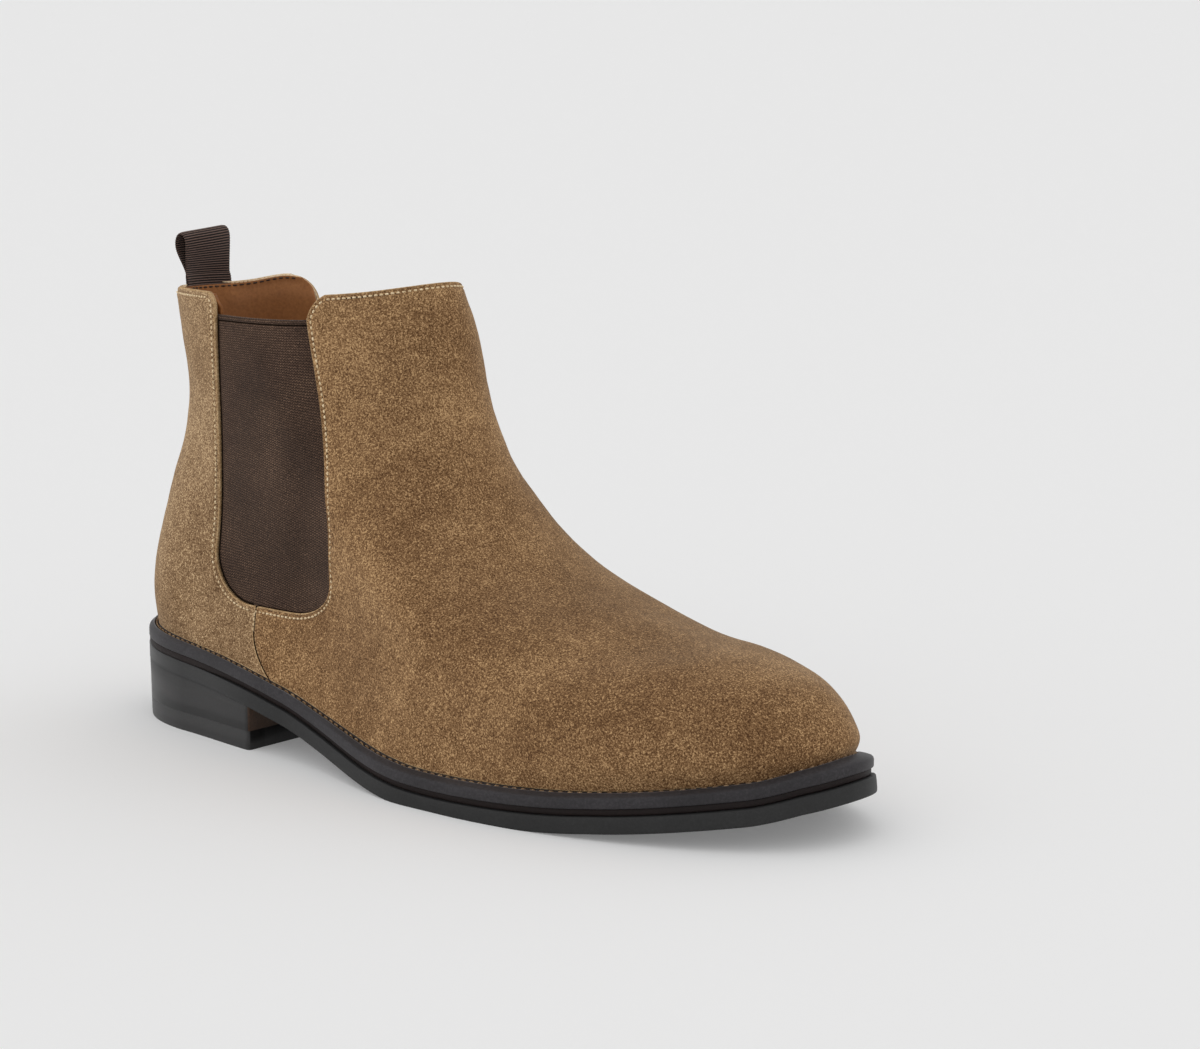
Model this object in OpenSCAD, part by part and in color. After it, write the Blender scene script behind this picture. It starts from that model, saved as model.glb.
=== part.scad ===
// Chelsea boot for the right foot, men's EU 42, elastic side gores and a pull loop.
// Frame: millimetres, +X towards the toe, +Z up, -Y is the outer side of the foot.
// The boot stands on z = 0, on its heel lift and on the sole under the ball. Heights in the
// numbers below are counted from the last's own zero level, which is 1 mm above the ground.

/* [Sole] */
// Thickness of the welt strip
welt_t = 4.1; // [3.6:0.1:4.1]
// Thickness of the midsole between welt and outsole
mid_t = 2.3; // [2:0.1:2.3]
// Thickness of the rubber outsole
out_t = 5.3; // [4.5:0.1:5.3]
// Depth of the groove that the midsole leaves in the edge
groove_d = 1.1; // [0.4:0.1:2]
// Height of the rubber top lift under the heel
lift_t = 7.5; // [5:0.1:8]
// Place of the heel breast along the boot
breast_x = -67; // [-70:0.5:-62]

/* [Upper] */
// Thickness of the suede
suede_t = 1.5; // [1.2:0.1:1.6]
// Thickness of the elastic, and of the loop's sewn ends
mid_layer_t = 1.0; // [0.8:0.1:1.1]
// Thickness of the leather lining
lining_t = 1.0; // [0.8:0.1:1.2]
// Free gap between two layers of the upper
layer_gap = 0.3; // [0.25:0.05:0.35]
// Height of the gore's lower edge
gore_low_z = 47.5; // [46:0.5:50]
// How far the elastic runs under the suede
gore_tuck = 6; // [4:0.5:7]

/* [Pull loop] */
// Width of the tape
tape_w = 20; // [18:0.5:24]
// Thickness of the tape
tape_t = 0.8; // [0.7:0.1:1]
// Height of the loop above its sewn foot
loop_h = 17.2; // [16:0.2:22]
// Half width of the loop's teardrop, as seen from the side
loop_half = 3.6; // [3.5:0.1:5]

/* [Hidden] */
$fn = 48;

outer = -1;
inner = 1;
// Level of the ground, and so of the heel's underside
ground = -1;
// Centre line of the last, set towards the inner side so that the outline is centred on y = 0
line_y = 3.4;
// Level of the ring where the back tab starts to lean back when the gores stretch
split_t = 0.5;
// How much further back the inner gore's rear edge is at the top
flare = 9.7;
// Ring level of the gores' top edge
gore_t = 0.94;
// Roundness of the rings at the heel and at the toe, outer and inner side
heel_pow = 1.9;
toe_pow_o = 1.8;
toe_pow_i = 1.9;
// Depths of the layers under the outside of the suede
mid_d = suede_t + layer_gap;
lin_d = mid_d + mid_layer_t + layer_gap;
in_d = lin_d + lining_t;
// Thickness and depths of the heel counter and the toe puff, between suede and lining
stiff_t = 0.7;
stiff_d = (suede_t + lin_d - stiff_t) / 2;
puff_d = lin_d - 0.25 - stiff_t;
// Leaning axis of the back tab and folding axis of the loop
lean_x = -143.2;
lean_z = 80;
fold_x = -133.7;
fold_z = 152.6;

// ---- curves -------------------------------------------------------------------------
function sm(a) = let(q = max(0, min(1, a))) q * q * (3 - 2 * q);
function end(p, k) = k < 0 ? 2 * p[0] - p[1]
    : k >= len(p) ? 2 * p[len(p) - 1] - p[len(p) - 2] : p[k];
// Smooth curve through evenly spaced stations p, s from 0 to 1
function cr(p, s) =
    let(n = len(p) - 1, q = max(0, min(1, s)) * n, i = min(n - 1, floor(q)), f = q - i,
        a = end(p, i - 1), b = p[i], c = p[i + 1], d = end(p, i + 2))
    0.5 * (2 * b + (c - a) * f + (2 * a - 5 * b + 4 * c - d) * f * f
        + (3 * b - a - 3 * c + d) * f * f * f);
function fold(q, p) = pow(max(0, 1 - pow(max(0, min(1, q)), p)), 0.5);

// ---- last: the family of rings that the upper follows -------------------------------
// Front line from the toe's feather edge over the instep to the top line
front = [[142.6, 21], [143.5, 29.3], [131.3, 42], [108, 49.2], [77.5, 52.6], [33.5, 66],
    [8.5, 88.3], [-3, 112], [-8.3, 141], [-13.8, 156.2]];
// Back line, x at every 17 mm of height from 34 mm
back = [-147, -148.5, -145.4, -141.1, -134.3, -132.1, -134.4, -136.3];
// Half widths at heel, waist and ball for five levels: outer side, then inner side
half_o = [[33.2, 40.3, 52.3], [32.5, 36.5, 50.6], [30.5, 34, 49], [26.6, 34.7, 46.5],
    [29.8, 33.2, 35.5]];
half_i = [[31, 28.5, 44.8], [31, 29.5, 46], [30, 32.5, 46.5], [26.6, 34.7, 45.5],
    [29.8, 33.2, 35.5]];
// Length of the rounding behind and in front, for the same levels
round_b = [43, 37, 39, 43, 45];
round_f = [106, 84, 64, 48, 84];
// How far the sides of a ring drop below its front point, which domes the toe and the instep
dome = [0, 5.5, 13.5, 6, 0];

function level(t) = t < 0.15 ? t / 0.6 : t < 0.35 ? 0.25 + (t - 0.15) / 0.8
    : t < 0.6 ? 0.5 + (t - 0.35) : 0.75 + (t - 0.6) / 1.6;
function back_z(t) = cr([33.9, 52, 80, 117, 150.4], t);
function back_x(z) = cr(back, (z - 34) / 119);
function line(x) = line_y + 0.7 * (sm((x - 18.5) / 130) - sm((18.5 - x) / 150));
function station(w, x) = w[0] + (w[1] - w[0]) * sm((x + 117.5) / 65)
    + (w[2] - w[1]) * sm((x + 52.5) / 74);
// Height of the welt's top face, where the upper is sewn down
function sole_z(x) =
    let(k = x < -107.5 ? (x + 157.5) / 50 : x < 12.5 ? 1 + (x + 107.5) / 40
        : x < 47.5 ? 4 + (x - 12.5) / 35 : x < 87.5 ? 5 + (x - 47.5) / 40 : 6 + (x - 87.5) / 55)
    cr([33, 30.8, 26.7, 18, 11.6, 10.95, 13.45, 21], k / 7) + 3.7 * pow(max(0, (x - 131) / 18.7), 1.7);
// One ring: back point, front point, widths and roundings
function ring(t) =
    let(zb = back_z(t), f = cr(front, t), k = level(t))
    [back_x(zb), zb, f[0], f[1], cr(half_o, k), cr(half_i, k), cr(round_b, k), cr(round_f, k), t,
        back_x(33.9), front[0][0], cr(dome, k)];
// Point of a ring: a = 0 at the back, 0 to 180 on the inner side, 180 at the toe
function on(r, a) =
    let(s = (1 - cos(a)) / 2, side = sin(a) < 0 ? outer : inner, t = r[8],
        x = r[0] + (r[2] - r[0]) * s, w = station(side < 0 ? r[4] : r[5], x),
        e = fold(1 - (x - r[0]) / r[6], heel_pow)
            * fold(1 - (r[2] - x) / r[7], side < 0 ? toe_pow_o : toe_pow_i),
        z = r[1] + (r[3] - r[1]) * s,
        low = sole_z(r[9] + (r[10] - r[9]) * s) - (33.9 + (front[0][1] - 33.9) * s),
        sag = 20 * s * s * (1 - s) * sm((t - 0.55) / 0.45),
        q = 1 - max(0, min(1, (r[2] - x) / 80)),
        drop = r[11] * (1 - q * q) * sm((x + 76.5) / 90),
        ear = side > 0 ? 2.7 * sm((t - 0.6) / 0.4) * exp(-pow((s - 0.17) / 0.085, 2)) : 0)
    [x, line(x) + side * w * e, z + low * pow(max(0, 1 - t / 0.3), 1.2) - sag - drop + ear];
// One row of points, d inside the suede's outer face
function row(t, angles, d) =
    let(r = ring(t), lo = ring(max(0, t - 0.01)), hi = ring(min(1, t + 0.01)))
    [for (a = angles)
        let(n = cross(on(hi, a) - on(lo, a), on(r, a + 1.5) - on(r, a - 1.5)),
            p = on(r, a) - n * (d / norm(n)))
        [p[0], p[1], p[2] + (t == 0 ? 0.3 : 0)]];

// ---- edges of the panels, x at a given height ---------------------------------------
// Side seam and front edge of the gore: the vamp lies in front of this line
function vamp_edge(z) = z < gore_low_z ? -71 + 10 * pow(max(0, (40 - z) / 13.5), 1.8)
    : z < 60 ? -53.5 + 20 * fold((60 - z) / (60 - gore_low_z), 2)
    : z < 143.5 ? -33.5 - 17 * pow(max(0, (z - 76) / 67.5), 1.3)
    : -50.5 + 9 * (1 - fold((z - 143.5) / 9.2, 2));
function upright(z) = -94.3 + 1.8 * pow(max(0, (z - 115) / 31), 1.5);
// Rear edge of the gore: the quarter lies behind this line
function quarter_edge(z, side) = z < gore_low_z ? vamp_edge(z) - 0.3
    : z < 64.5 ? -73.8 - 20.5 * fold((64.5 - z) / (64.5 - gore_low_z), 2)
    : side > 0 ? (z < 140 ? upright(z) : -92.9 - 12 * (1 - fold((z - 140) / 13.2, 2)))
        - flare * sm((z - 64.5) / 70)
    : z < 146 ? upright(z) : -92.5 - 9 * (1 - fold((z - 146) / 6.4, 2));
function gore_front(z) = z < 62 ? -53.5 + (20 + gore_tuck) * fold((62 - z) / 22, 2)
    : vamp_edge(min(z, 143)) + gore_tuck;
function gore_rear(z, side) = z < 66 ? -73.5 - (20.8 + gore_tuck) * fold((66 - z) / 26, 2)
    : quarter_edge(min(z, 143), side) - gore_tuck;
// Angle at which a ring crosses an edge; which picks the edge
function edge_at(which, z, side) = which == 0 ? vamp_edge(z) : which == 1 ? quarter_edge(z, side)
    : which == 2 ? gore_front(z) : gore_rear(z, side);
function cut(r, side, which, lo = 4, hi = 176, n = 13) =
    let(m = (lo + hi) / 2, p = on(r, side * m))
    n == 0 ? m : p[0] > edge_at(which, p[2], side) ? cut(r, side, which, lo, m, n - 1)
    : cut(r, side, which, m, hi, n - 1);
function steps(a, b, n) = [for (i = [0 : n - 1]) a + (b - a) * i / (n - 1)];
// Same as steps, but closer together at both ends
function eased(a, b, n) = [for (i = [0 : n - 1]) a + (b - a) * (i / (n - 1)
    - 0.08 * sin(360 * i / (n - 1)))];

// ---- a closed sheet between two grids of points -------------------------------------
module sheet(face, under)
{
    m = len(face);
    n = len(face[0]);
    k = m * n;
    quads = concat(
        [for (i = [0 : m - 2], j = [0 : n - 2])
            [i * n + j, i * n + j + 1, (i + 1) * n + j + 1, (i + 1) * n + j]],
        [for (i = [0 : m - 2], j = [0 : n - 2])
            [k + i * n + j, k + (i + 1) * n + j, k + (i + 1) * n + j + 1, k + i * n + j + 1]],
        [for (j = [0 : n - 2]) [j + 1, j, k + j, k + j + 1]],
        [for (j = [0 : n - 2]) let(q = (m - 1) * n + j) [q, q + 1, k + q + 1, k + q]],
        [for (i = [0 : m - 2]) [i * n, (i + 1) * n, k + (i + 1) * n, k + i * n]],
        [for (i = [0 : m - 2]) let(q = i * n + n - 1) [q + n, q, k + q, k + q + n]]);
    polyhedron([for (r = face) each r, for (r = under) each r],
        [for (q = quads) each [[q[0], q[1], q[2]], [q[0], q[2], q[3]]]]);
}

// Sheet over ring levels ts; spans gives the angles of each level
module layer(ts, spans, d0, d1)
{
    sheet([for (i = [0 : len(ts) - 1]) row(ts[i], spans[i], d0)],
        [for (i = [0 : len(ts) - 1]) row(ts[i], spans[i], d1)]);
}

low_ts = [0, 0.03, 0.07, 0.12, 0.17, 0.205, 0.22, 0.23, 0.24, 0.25, 0.26, 0.275, 0.3, 0.34,
    0.39, 0.44];
high_ts = [0.55, 0.61, 0.67, 0.73, 0.79, 0.85, 0.9, gore_t, 0.96, 0.975, 0.99, 1];
vamp_ts = concat(low_ts, [split_t], high_ts);

function vamp_span(t, n) =
    let(r = ring(t)) eased(cut(r, inner, 0), 360 - cut(r, outer, 0), n);
function quarter_span(t, side, n) =
    let(c = cut(ring(t), side, 1)) side > 0 ? steps(0.25, c, n) : steps(-c, -0.25, n);

module quarter_panel(side, ts, n)
{
    layer(ts, [for (t = ts) quarter_span(t, side, n)], 0, suede_t);
}

// ---- sole outline and bands ----------------------------------------------------------
// Half length of the sole, and its half widths at heel, waist and ball
sole_end = 149.7;
rim_o = [37, 43, 57.6];
rim_i = [34.8, 33, 50.8];
function rim(side, x) =
    station(side < 0 ? rim_o : rim_i, x) * fold(1 - (x + sole_end) / 44, heel_pow)
        * fold(1 - (sole_end - x) / 112, side < 0 ? toe_pow_o : toe_pow_i);
// Outline of the sole unit, m inside its edge
function outline(m) =
    [for (a = [-180 : 5 : 175])
        let(s = (1 - cos(a)) / 2, side = a < 0 ? outer : inner, x = sole_end * (2 * s - 1),
            c = [max(-106, min(58, x)), line(x)],
            p = [x, line(x) + side * rim(side, x)], v = p - c)
        p - v * (m / max(1, norm(v)))];
// Outline of the upper's feather line, m inside it
function feather(m) =
    let(r = ring(0))
    [for (a = [-180 : 5 : 175]) let(p = on(r, a), c = [max(-106, min(58, p[0])), line(p[0])],
        v = [p[0], p[1]] - c) [p[0], p[1]] - v * (m / max(1, norm(v)))];
// Body between two heights that follow the welt's top face
module band(z0, z1, x0 = -152, x1 = 152, n = 44)
{
    xs = steps(x0, x1, n);
    rotate([90, 0, 0]) linear_extrude(height = 140, center = true)
        polygon(concat([for (x = xs) [x, sole_z(x) + z0]],
            [for (i = [1 : n]) [xs[n - i], sole_z(xs[n - i]) + z1]]));
}
module prism(points)
{
    translate([0, 0, -5]) linear_extrude(height = 90) polygon(points);
}

sole_t = welt_t + mid_t + out_t;

module outsole()
{
    color([0.17, 0.17, 0.17]) intersection()
    {
        prism(outline(0));
        band(-sole_t, -welt_t - mid_t);
    }
}

module midsole()
{
    color([0.12, 0.11, 0.11]) intersection()
    {
        prism(outline(groove_d));
        band(-welt_t - mid_t, -welt_t);
    }
}

module welt()
{
    color([0.21, 0.2, 0.21]) intersection()
    {
        difference()
        {
            prism(outline(0));
            prism(feather(3));
        }
        band(-welt_t, 0);
    }
}

// Space of the heel under the outsole, m inside the outline
module heel_space(m, z0, z1)
{
    intersection()
    {
        translate([0, 0, z0]) linear_extrude(height = z1 - z0) polygon(outline(m));
        translate([-160, -60, -5]) cube([160 + breast_x, 120, 60]);
        band(-60, -sole_t);
    }
}

// Nail places in the heel, in a horseshoe
nails = [for (a = [60 : 40 : 300]) [-110 + 28 * cos(a), line_y + 23 * sin(a)]];

module heel_block()
{
    color([0.2, 0.19, 0.19]) difference()
    {
        heel_space(0.3, ground + lift_t, 40);
        for (p = nails) translate([p[0], p[1], ground]) cylinder(r = 1.05, h = 16);
    }
}

module top_lift()
{
    color([0.1, 0.1, 0.1]) difference()
    {
        heel_space(0.7, ground, ground + lift_t);
        for (p = nails) translate([p[0], p[1], ground + 2]) cylinder(r = 1.05, h = 20);
    }
}

module heel_nails()
{
    color([0.62, 0.6, 0.55]) for (p = nails)
        translate([p[0], p[1], ground + 2.1]) cylinder(r = 1, h = 13.6);
}

module shank_space(g)
{
    intersection()
    {
        translate([-94 - g, line_y - 6.5 - g, 0]) cube([96 + 2 * g, 13 + 2 * g, 60]);
        band(-2.7 - g, -1.2 + g);
    }
}

module cork_filler()
{
    color([0.55, 0.4, 0.27]) difference()
    {
        intersection()
        {
            prism(feather(3.3));
            band(-welt_t, -0.4);
        }
        shank_space(0.1);
    }
}

module shank()
{
    color([0.5, 0.52, 0.55]) shank_space(0);
}

module insole_board()
{
    color([0.66, 0.52, 0.38]) intersection()
    {
        prism(feather(5.2));
        band(0, 2.1);
    }
}

module sock_liner()
{
    color([0.42, 0.26, 0.15]) intersection()
    {
        prism(feather(5.6));
        band(2.2, 3.4);
    }
}

module heel_pad()
{
    color([0.36, 0.21, 0.11]) intersection()
    {
        prism(feather(9));
        translate([-160, -60, 0]) cube([90, 120, 80]);
        band(3.5, 5);
    }
}

// ---- upper ------------------------------------------------------------------------------
module vamp()
{
    color([0.5, 0.38, 0.26])
        layer(vamp_ts, [for (t = vamp_ts) vamp_span(t, 43)], 0, suede_t);
}

quarter_ts = concat(low_ts, [split_t - 0.002]);
tab_ts = concat([split_t + 0.002], high_ts);

module quarter_outer()
{
    color([0.57, 0.45, 0.33]) quarter_panel(outer, quarter_ts, 16);
}

module quarter_inner()
{
    color([0.55, 0.43, 0.31]) quarter_panel(inner, quarter_ts, 16);
}

module back_tab_outer()
{
    color([0.58, 0.46, 0.34]) quarter_panel(outer, tab_ts, 14);
}

module back_tab_inner()
{
    color([0.56, 0.44, 0.32]) quarter_panel(inner, tab_ts, 14);
}

module gore_panel(side)
{
    ts = [0.185, 0.195, 0.21, 0.23, 0.26, 0.3, 0.36, 0.43, 0.5, 0.58, 0.66, 0.74, 0.82, 0.89, gore_t];
    layer(ts, [for (t = ts) let(r = ring(t), a = cut(r, side, 3), b = cut(r, side, 2))
        side > 0 ? steps(a, b, 12) : steps(-b, -a, 12)], mid_d, mid_d + mid_layer_t);
}

module gore_outer()
{
    color([0.29, 0.24, 0.2]) gore_panel(outer);
}

module gore_inner()
{
    color([0.28, 0.23, 0.19]) gore_panel(inner);
}

lin_ts = [0, 0.06, 0.13, 0.2, 0.225, 0.24, 0.255, 0.28, 0.33, 0.4, 0.47, 0.54, 0.62, 0.7, 0.78,
    0.86, 0.92, 0.96, 0.985];

module vamp_lining()
{
    color([0.4, 0.25, 0.14])
        layer(lin_ts, [for (t = lin_ts) vamp_span(t, 34)], lin_d, in_d);
}

function back_span(t, n) =
    let(r = ring(t)) steps(-cut(r, outer, 1), cut(r, inner, 1), n);

module quarter_lining()
{
    ts = [0, 0.06, 0.13, 0.2, 0.225, 0.24, 0.26, 0.3, 0.37, 0.44, split_t - 0.002];
    color([0.4, 0.25, 0.14]) layer(ts, [for (t = ts) back_span(t, 23)], lin_d, in_d);
}

module back_tab_lining()
{
    ts = [split_t + 0.002, 0.56, 0.63, 0.7, 0.77, 0.84, 0.9, 0.94, 0.965, 0.985];
    color([0.41, 0.26, 0.15]) layer(ts, [for (t = ts) back_span(t, 23)], lin_d, in_d);
}

module heel_counter()
{
    ts = [0.02, 0.08, 0.14, 0.2, 0.26, 0.33, 0.4, 0.46];
    color([0.72, 0.66, 0.55])
        layer(ts, [for (t = ts) steps(-44 + 22 * t, 44 - 22 * t, 23)], stiff_d,
            stiff_d + stiff_t);
}

module toe_puff()
{
    ts = [0.01, 0.05, 0.1, 0.15, 0.2, 0.25, 0.29];
    color([0.7, 0.64, 0.52])
        layer(ts, [for (t = ts) steps(146, 214, 21)], puff_d, puff_d + stiff_t);
}

// Tape over the back seam, outside the suede
module strip(ts)
{
    layer(ts, [for (t = ts) steps(-4.4, 4.4, 5)], -0.8, -0.25);
}

module back_strip()
{
    color([0.17, 0.14, 0.12]) strip([0.02, 0.07, 0.12, 0.17, 0.22, 0.26, 0.3, 0.34, 0.39,
        0.44, split_t - 0.002]);
}

module tab_strip()
{
    color([0.17, 0.14, 0.12]) strip([split_t + 0.002, 0.55, 0.61, 0.67, 0.73, 0.79, 0.85,
        0.9, gore_t]);
}

// Both ends of the tape, sewn between the suede and the lining of the back tab
module loop_ends()
{
    ts = [0.84, 0.88, 0.92, 0.96, 0.99];
    color([0.17, 0.13, 0.12])
        layer(ts, [for (t = ts) steps(-16, 16, 9)], mid_d, mid_d + mid_layer_t);
}

// Teardrop outline of the loop: wide w, from z0 to z1
function drop(w, z0, z1) =
    [for (a = [0 : 9 : 351])
        [w * sin(a) * (1 - cos(a)) / 1.3, z0 + (z1 - z0) * (1 - cos(a)) / 2]];

module pull_loop()
{
    color([0.17, 0.13, 0.12]) translate([fold_x, line_y, fold_z]) rotate([90, 0, 0])
        linear_extrude(height = tape_w, center = true) difference()
        {
            union()
            {
                polygon(drop(loop_half, 0, loop_h));
                translate([-tape_t, 0]) square([2 * tape_t, 4]);
            }
            polygon(drop(loop_half - tape_t, 2.6, loop_h - tape_t));
        }
}

// Raises a node from the last's levels to the ground that the boot stands on
module stood()
{
    translate([0, 0, -ground]) children();
}

stood() outsole();
stood() midsole();
stood() welt();
stood() heel_block();
stood() top_lift();
stood() heel_nails();
stood() cork_filler();
stood() shank();
stood() insole_board();
stood() sock_liner();
stood() heel_pad();
stood() vamp();
stood() quarter_outer();
stood() quarter_inner();
stood() back_tab_outer();
stood() back_tab_inner();
stood() gore_outer();
stood() gore_inner();
stood() vamp_lining();
stood() quarter_lining();
stood() back_tab_lining();
stood() heel_counter();
stood() toe_puff();
stood() back_strip();
stood() tab_strip();
stood() loop_ends();
stood() pull_loop();
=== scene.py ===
"""Chelsea boot for the right foot: the finished look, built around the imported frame.

Lengths in the functions below are millimetres, in the frame's own axes: +X towards the toe, +Z up, and the
outer side of the boot at -Y. Meshes are made in metres.
"""
import math
import bpy
import numpy as np
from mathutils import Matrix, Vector
from mathutils.geometry import delaunay_2d_cdt


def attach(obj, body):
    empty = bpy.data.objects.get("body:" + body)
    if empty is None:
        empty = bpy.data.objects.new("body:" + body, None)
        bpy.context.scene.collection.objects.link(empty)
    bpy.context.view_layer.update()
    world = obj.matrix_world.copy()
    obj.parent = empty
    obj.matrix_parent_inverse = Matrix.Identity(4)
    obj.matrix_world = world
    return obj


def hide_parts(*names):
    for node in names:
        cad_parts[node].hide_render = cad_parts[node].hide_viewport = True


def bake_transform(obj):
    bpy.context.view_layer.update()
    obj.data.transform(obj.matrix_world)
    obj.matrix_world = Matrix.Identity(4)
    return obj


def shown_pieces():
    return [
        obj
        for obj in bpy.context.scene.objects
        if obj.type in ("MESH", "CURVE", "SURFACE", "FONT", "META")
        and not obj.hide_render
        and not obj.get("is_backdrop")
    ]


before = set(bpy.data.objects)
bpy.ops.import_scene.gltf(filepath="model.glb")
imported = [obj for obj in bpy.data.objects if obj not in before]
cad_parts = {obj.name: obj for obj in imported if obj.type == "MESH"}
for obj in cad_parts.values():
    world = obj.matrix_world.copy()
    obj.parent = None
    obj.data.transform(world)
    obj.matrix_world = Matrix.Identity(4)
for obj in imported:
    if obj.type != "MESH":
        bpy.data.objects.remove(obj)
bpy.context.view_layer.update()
MM = 0.001
OUTER, INNER = -1, 1
SIDES = ((OUTER, "outer"), (INNER, "inner"))

# ---- driving dimensions, the same as the frame's ---------------------------------------------
WELT_T, MID_T, OUT_T = 4.1, 2.3, 5.3
SOLE_T = WELT_T + MID_T + OUT_T
GROUND = -1.0
LIFT_TOP = GROUND + 7.5
BREAST_X = -67.0
SUEDE_T, GORE_T, LINING_T = 1.5, 1.0, 1.0
GORE_D, LINING_D = 1.8, 3.1
GORE_TOP, LINING_TOP = 0.94, 0.994
TAPE_W, TAPE_T = 20.0, 0.8
LOOP_HALF, LOOP_H = 3.2, 17.2
FOLD = (-133.7, 3.4, 152.6)
LINE_Y = 3.4

# Edges of the panels, seen from the side. Above the side seam the gore stands between two upright edges. Each
# has a rounded corner at its foot, given as length and height, and one at its top, given as x, z, length and
# height. The rear edge flares further back on the inner side. GORE_LAP is how far the elastic goes under them.
SEAM_X, GORE_LOW_Z = -71.0, 47.5
FRONT_X, FRONT_FOOT = -33.5, (20.0, 12.5)
REAR_X, REAR_FOOT = -94.3, (-20.5, 17.0)
FLARE, GORE_LAP = 9.7, 6.0
FRONT_TOP = (-50.5, 143.5, 9.0, 9.2)
REAR_TOP = {OUTER: (-92.5, 146.0, -9.0, 6.4), INNER: (-92.9 - FLARE, 140.0, -12.0, 13.2)}

# The last: back point and front point, x and z, from the feather edge to the top line; half widths at heel,
# waist and ball, outer and inner; the lengths over which a ring closes at its back and front, and the powers of
# those curves; how far a ring drops behind its front point; the sag of the top line, and the raised inner tab.
BACK_Z = [33.9, 52, 80, 117, 150.4]
BACK = [-147, -148.5, -145.4, -141.1, -134.3, -132.1, -134.4, -136.3]
FRONT = [[142.6, 21], [143.5, 29.3], [131.3, 42], [108, 49.2], [77.5, 52.6], [33.5, 66],
         [8.5, 88.3], [-3, 112], [-8.3, 141], [-13.8, 156.2]]
WIDTH_LEVELS = [0, 0.15, 0.35, 0.6, 1]
HALF_O = [[33.2, 40.3, 52.3], [32.5, 36.5, 50.6], [30.5, 34, 49], [26.6, 34.7, 46.5], [29.8, 33.2, 35.5]]
HALF_I = [[31, 28.5, 44.8], [31, 29.5, 46], [30, 32.5, 46.5], [26.6, 34.7, 45.5], [29.8, 33.2, 35.5]]
ROUND_B = [43, 37, 39, 43, 45]
ROUND_F = [106, 84, 64, 48, 84]
HEEL_POW, TOE_POW_O, TOE_POW_I = 1.9, 1.8, 1.9
DOME = [0, 5.5, 13.5, 6, 0]
TOP_SAG = 20.0
EAR_RISE, EAR_AT, EAR_SPAN = 2.7, 0.17, 0.085

# The sole unit: half length, half widths, closing lengths, and the height of the welt's top face
SOLE_END = 149.7
RIM_O, RIM_I = [37, 43, 57.6], [34.8, 33, 50.8]
RIM_ROUND_B, RIM_ROUND_F = 44, 112
SOLE_X = [-157.5, -107.5, -67.5, -27.5, 12.5, 47.5, 87.5, 142.5]
SOLE_Z = [33, 30.8, 26.7, 18, 11.6, 10.95, 13.45, 21]


# ---- the last: a family of rings, t from the feather edge (0) to the top line (1) ------------
def sm(v):
    """Smooth step from 0 to 1."""
    v = np.clip(v, 0, 1)
    return v * v * (3 - 2 * v)


def curve(stations, s):
    """Smooth curve through evenly spaced stations, s from 0 to 1."""
    p = np.asarray(stations, float)
    n = len(p) - 1
    q = np.clip(s, 0, 1) * n
    i = np.minimum(n - 1, np.floor(q)).astype(int)
    f = q - i
    e = np.concatenate([[2 * p[0] - p[1]], p, [2 * p[n] - p[n - 1]]])
    a, b, c, d = e[i], e[i + 1], e[i + 2], e[i + 3]
    if p.ndim > 1:
        f = f[..., None]
    return 0.5 * (2 * b + (c - a) * f + (2 * a - 5 * b + 4 * c - d) * f * f + (3 * b - a - 3 * c + d) * f**3)


def fold(q, power):
    """Falls from 1 to 0 as q goes from 0 to 1, like a rounded end."""
    return np.sqrt(np.maximum(0, 1 - np.clip(q, 0, 1) ** power))


def back_x(z):
    return curve(BACK, (z - 34) / 119)


def line(x):
    """The boot's middle line, which bends towards the inner side."""
    return LINE_Y + 0.7 * (sm((x - 18.5) / 130) - sm((18.5 - x) / 150))


def width_at(w, x):
    """Half width at x, from those at heel, waist and ball."""
    return (w[..., 0] + (w[..., 1] - w[..., 0]) * sm((x + 117.5) / 65)
            + (w[..., 2] - w[..., 1]) * sm((x + 52.5) / 74))


def sole_z(x):
    """Height of the welt's top face."""
    toe = np.maximum(0, (x - 131) / 18.7) ** 1.7
    return curve(SOLE_Z, np.interp(x, SOLE_X, np.arange(8)) / 7) + 3.7 * toe


def ends(t):
    """Back point and front point of a ring."""
    zb = curve(BACK_Z, t)
    return back_x(zb), zb, curve(FRONT, t)


def on(t, a):
    """Points of the outside of the upper; a is in degrees, 0 at the back and 0 to 180 on the inner side."""
    t, a = np.broadcast_arrays(np.asarray(t, float), np.asarray(a, float))
    k = np.interp(t, WIDTH_LEVELS, [0, 0.25, 0.5, 0.75, 1])
    bx, zb, f = ends(t)
    s = (1 - np.cos(np.radians(a))) / 2
    out = np.sin(np.radians(a)) < 0
    x = bx + (f[..., 0] - bx) * s
    w = width_at(np.where(out[..., None], curve(HALF_O, k), curve(HALF_I, k)), x)
    e = (fold(1 - (x - bx) / curve(ROUND_B, k), HEEL_POW)
         * fold(1 - (f[..., 0] - x) / curve(ROUND_F, k), np.where(out, TOE_POW_O, TOE_POW_I)))
    low_x = back_x(BACK_Z[0]) + (FRONT[0][0] - back_x(BACK_Z[0])) * s
    low = sole_z(low_x) - (BACK_Z[0] + (FRONT[0][1] - BACK_Z[0]) * s)
    sag = TOP_SAG * s * s * (1 - s) * sm((t - 0.55) / 0.45)
    q = 1 - np.clip((f[..., 0] - x) / 80, 0, 1)
    drop = curve(DOME, k) * (1 - q * q) * sm((x + 76.5) / 90)
    ear = np.where(out, 0, EAR_RISE * sm((t - 0.6) / 0.4) * np.exp(-((s - EAR_AT) / EAR_SPAN) ** 2))
    z = zb + (f[..., 1] - zb) * s + low * np.maximum(0, 1 - t / 0.3) ** 1.2 - sag - drop + ear
    return np.stack([x, line(x) + np.where(out, OUTER, INNER) * w * e, z], -1)


def unit(v):
    return v / np.maximum(1e-12, np.linalg.norm(v, axis=-1, keepdims=True))


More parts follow.
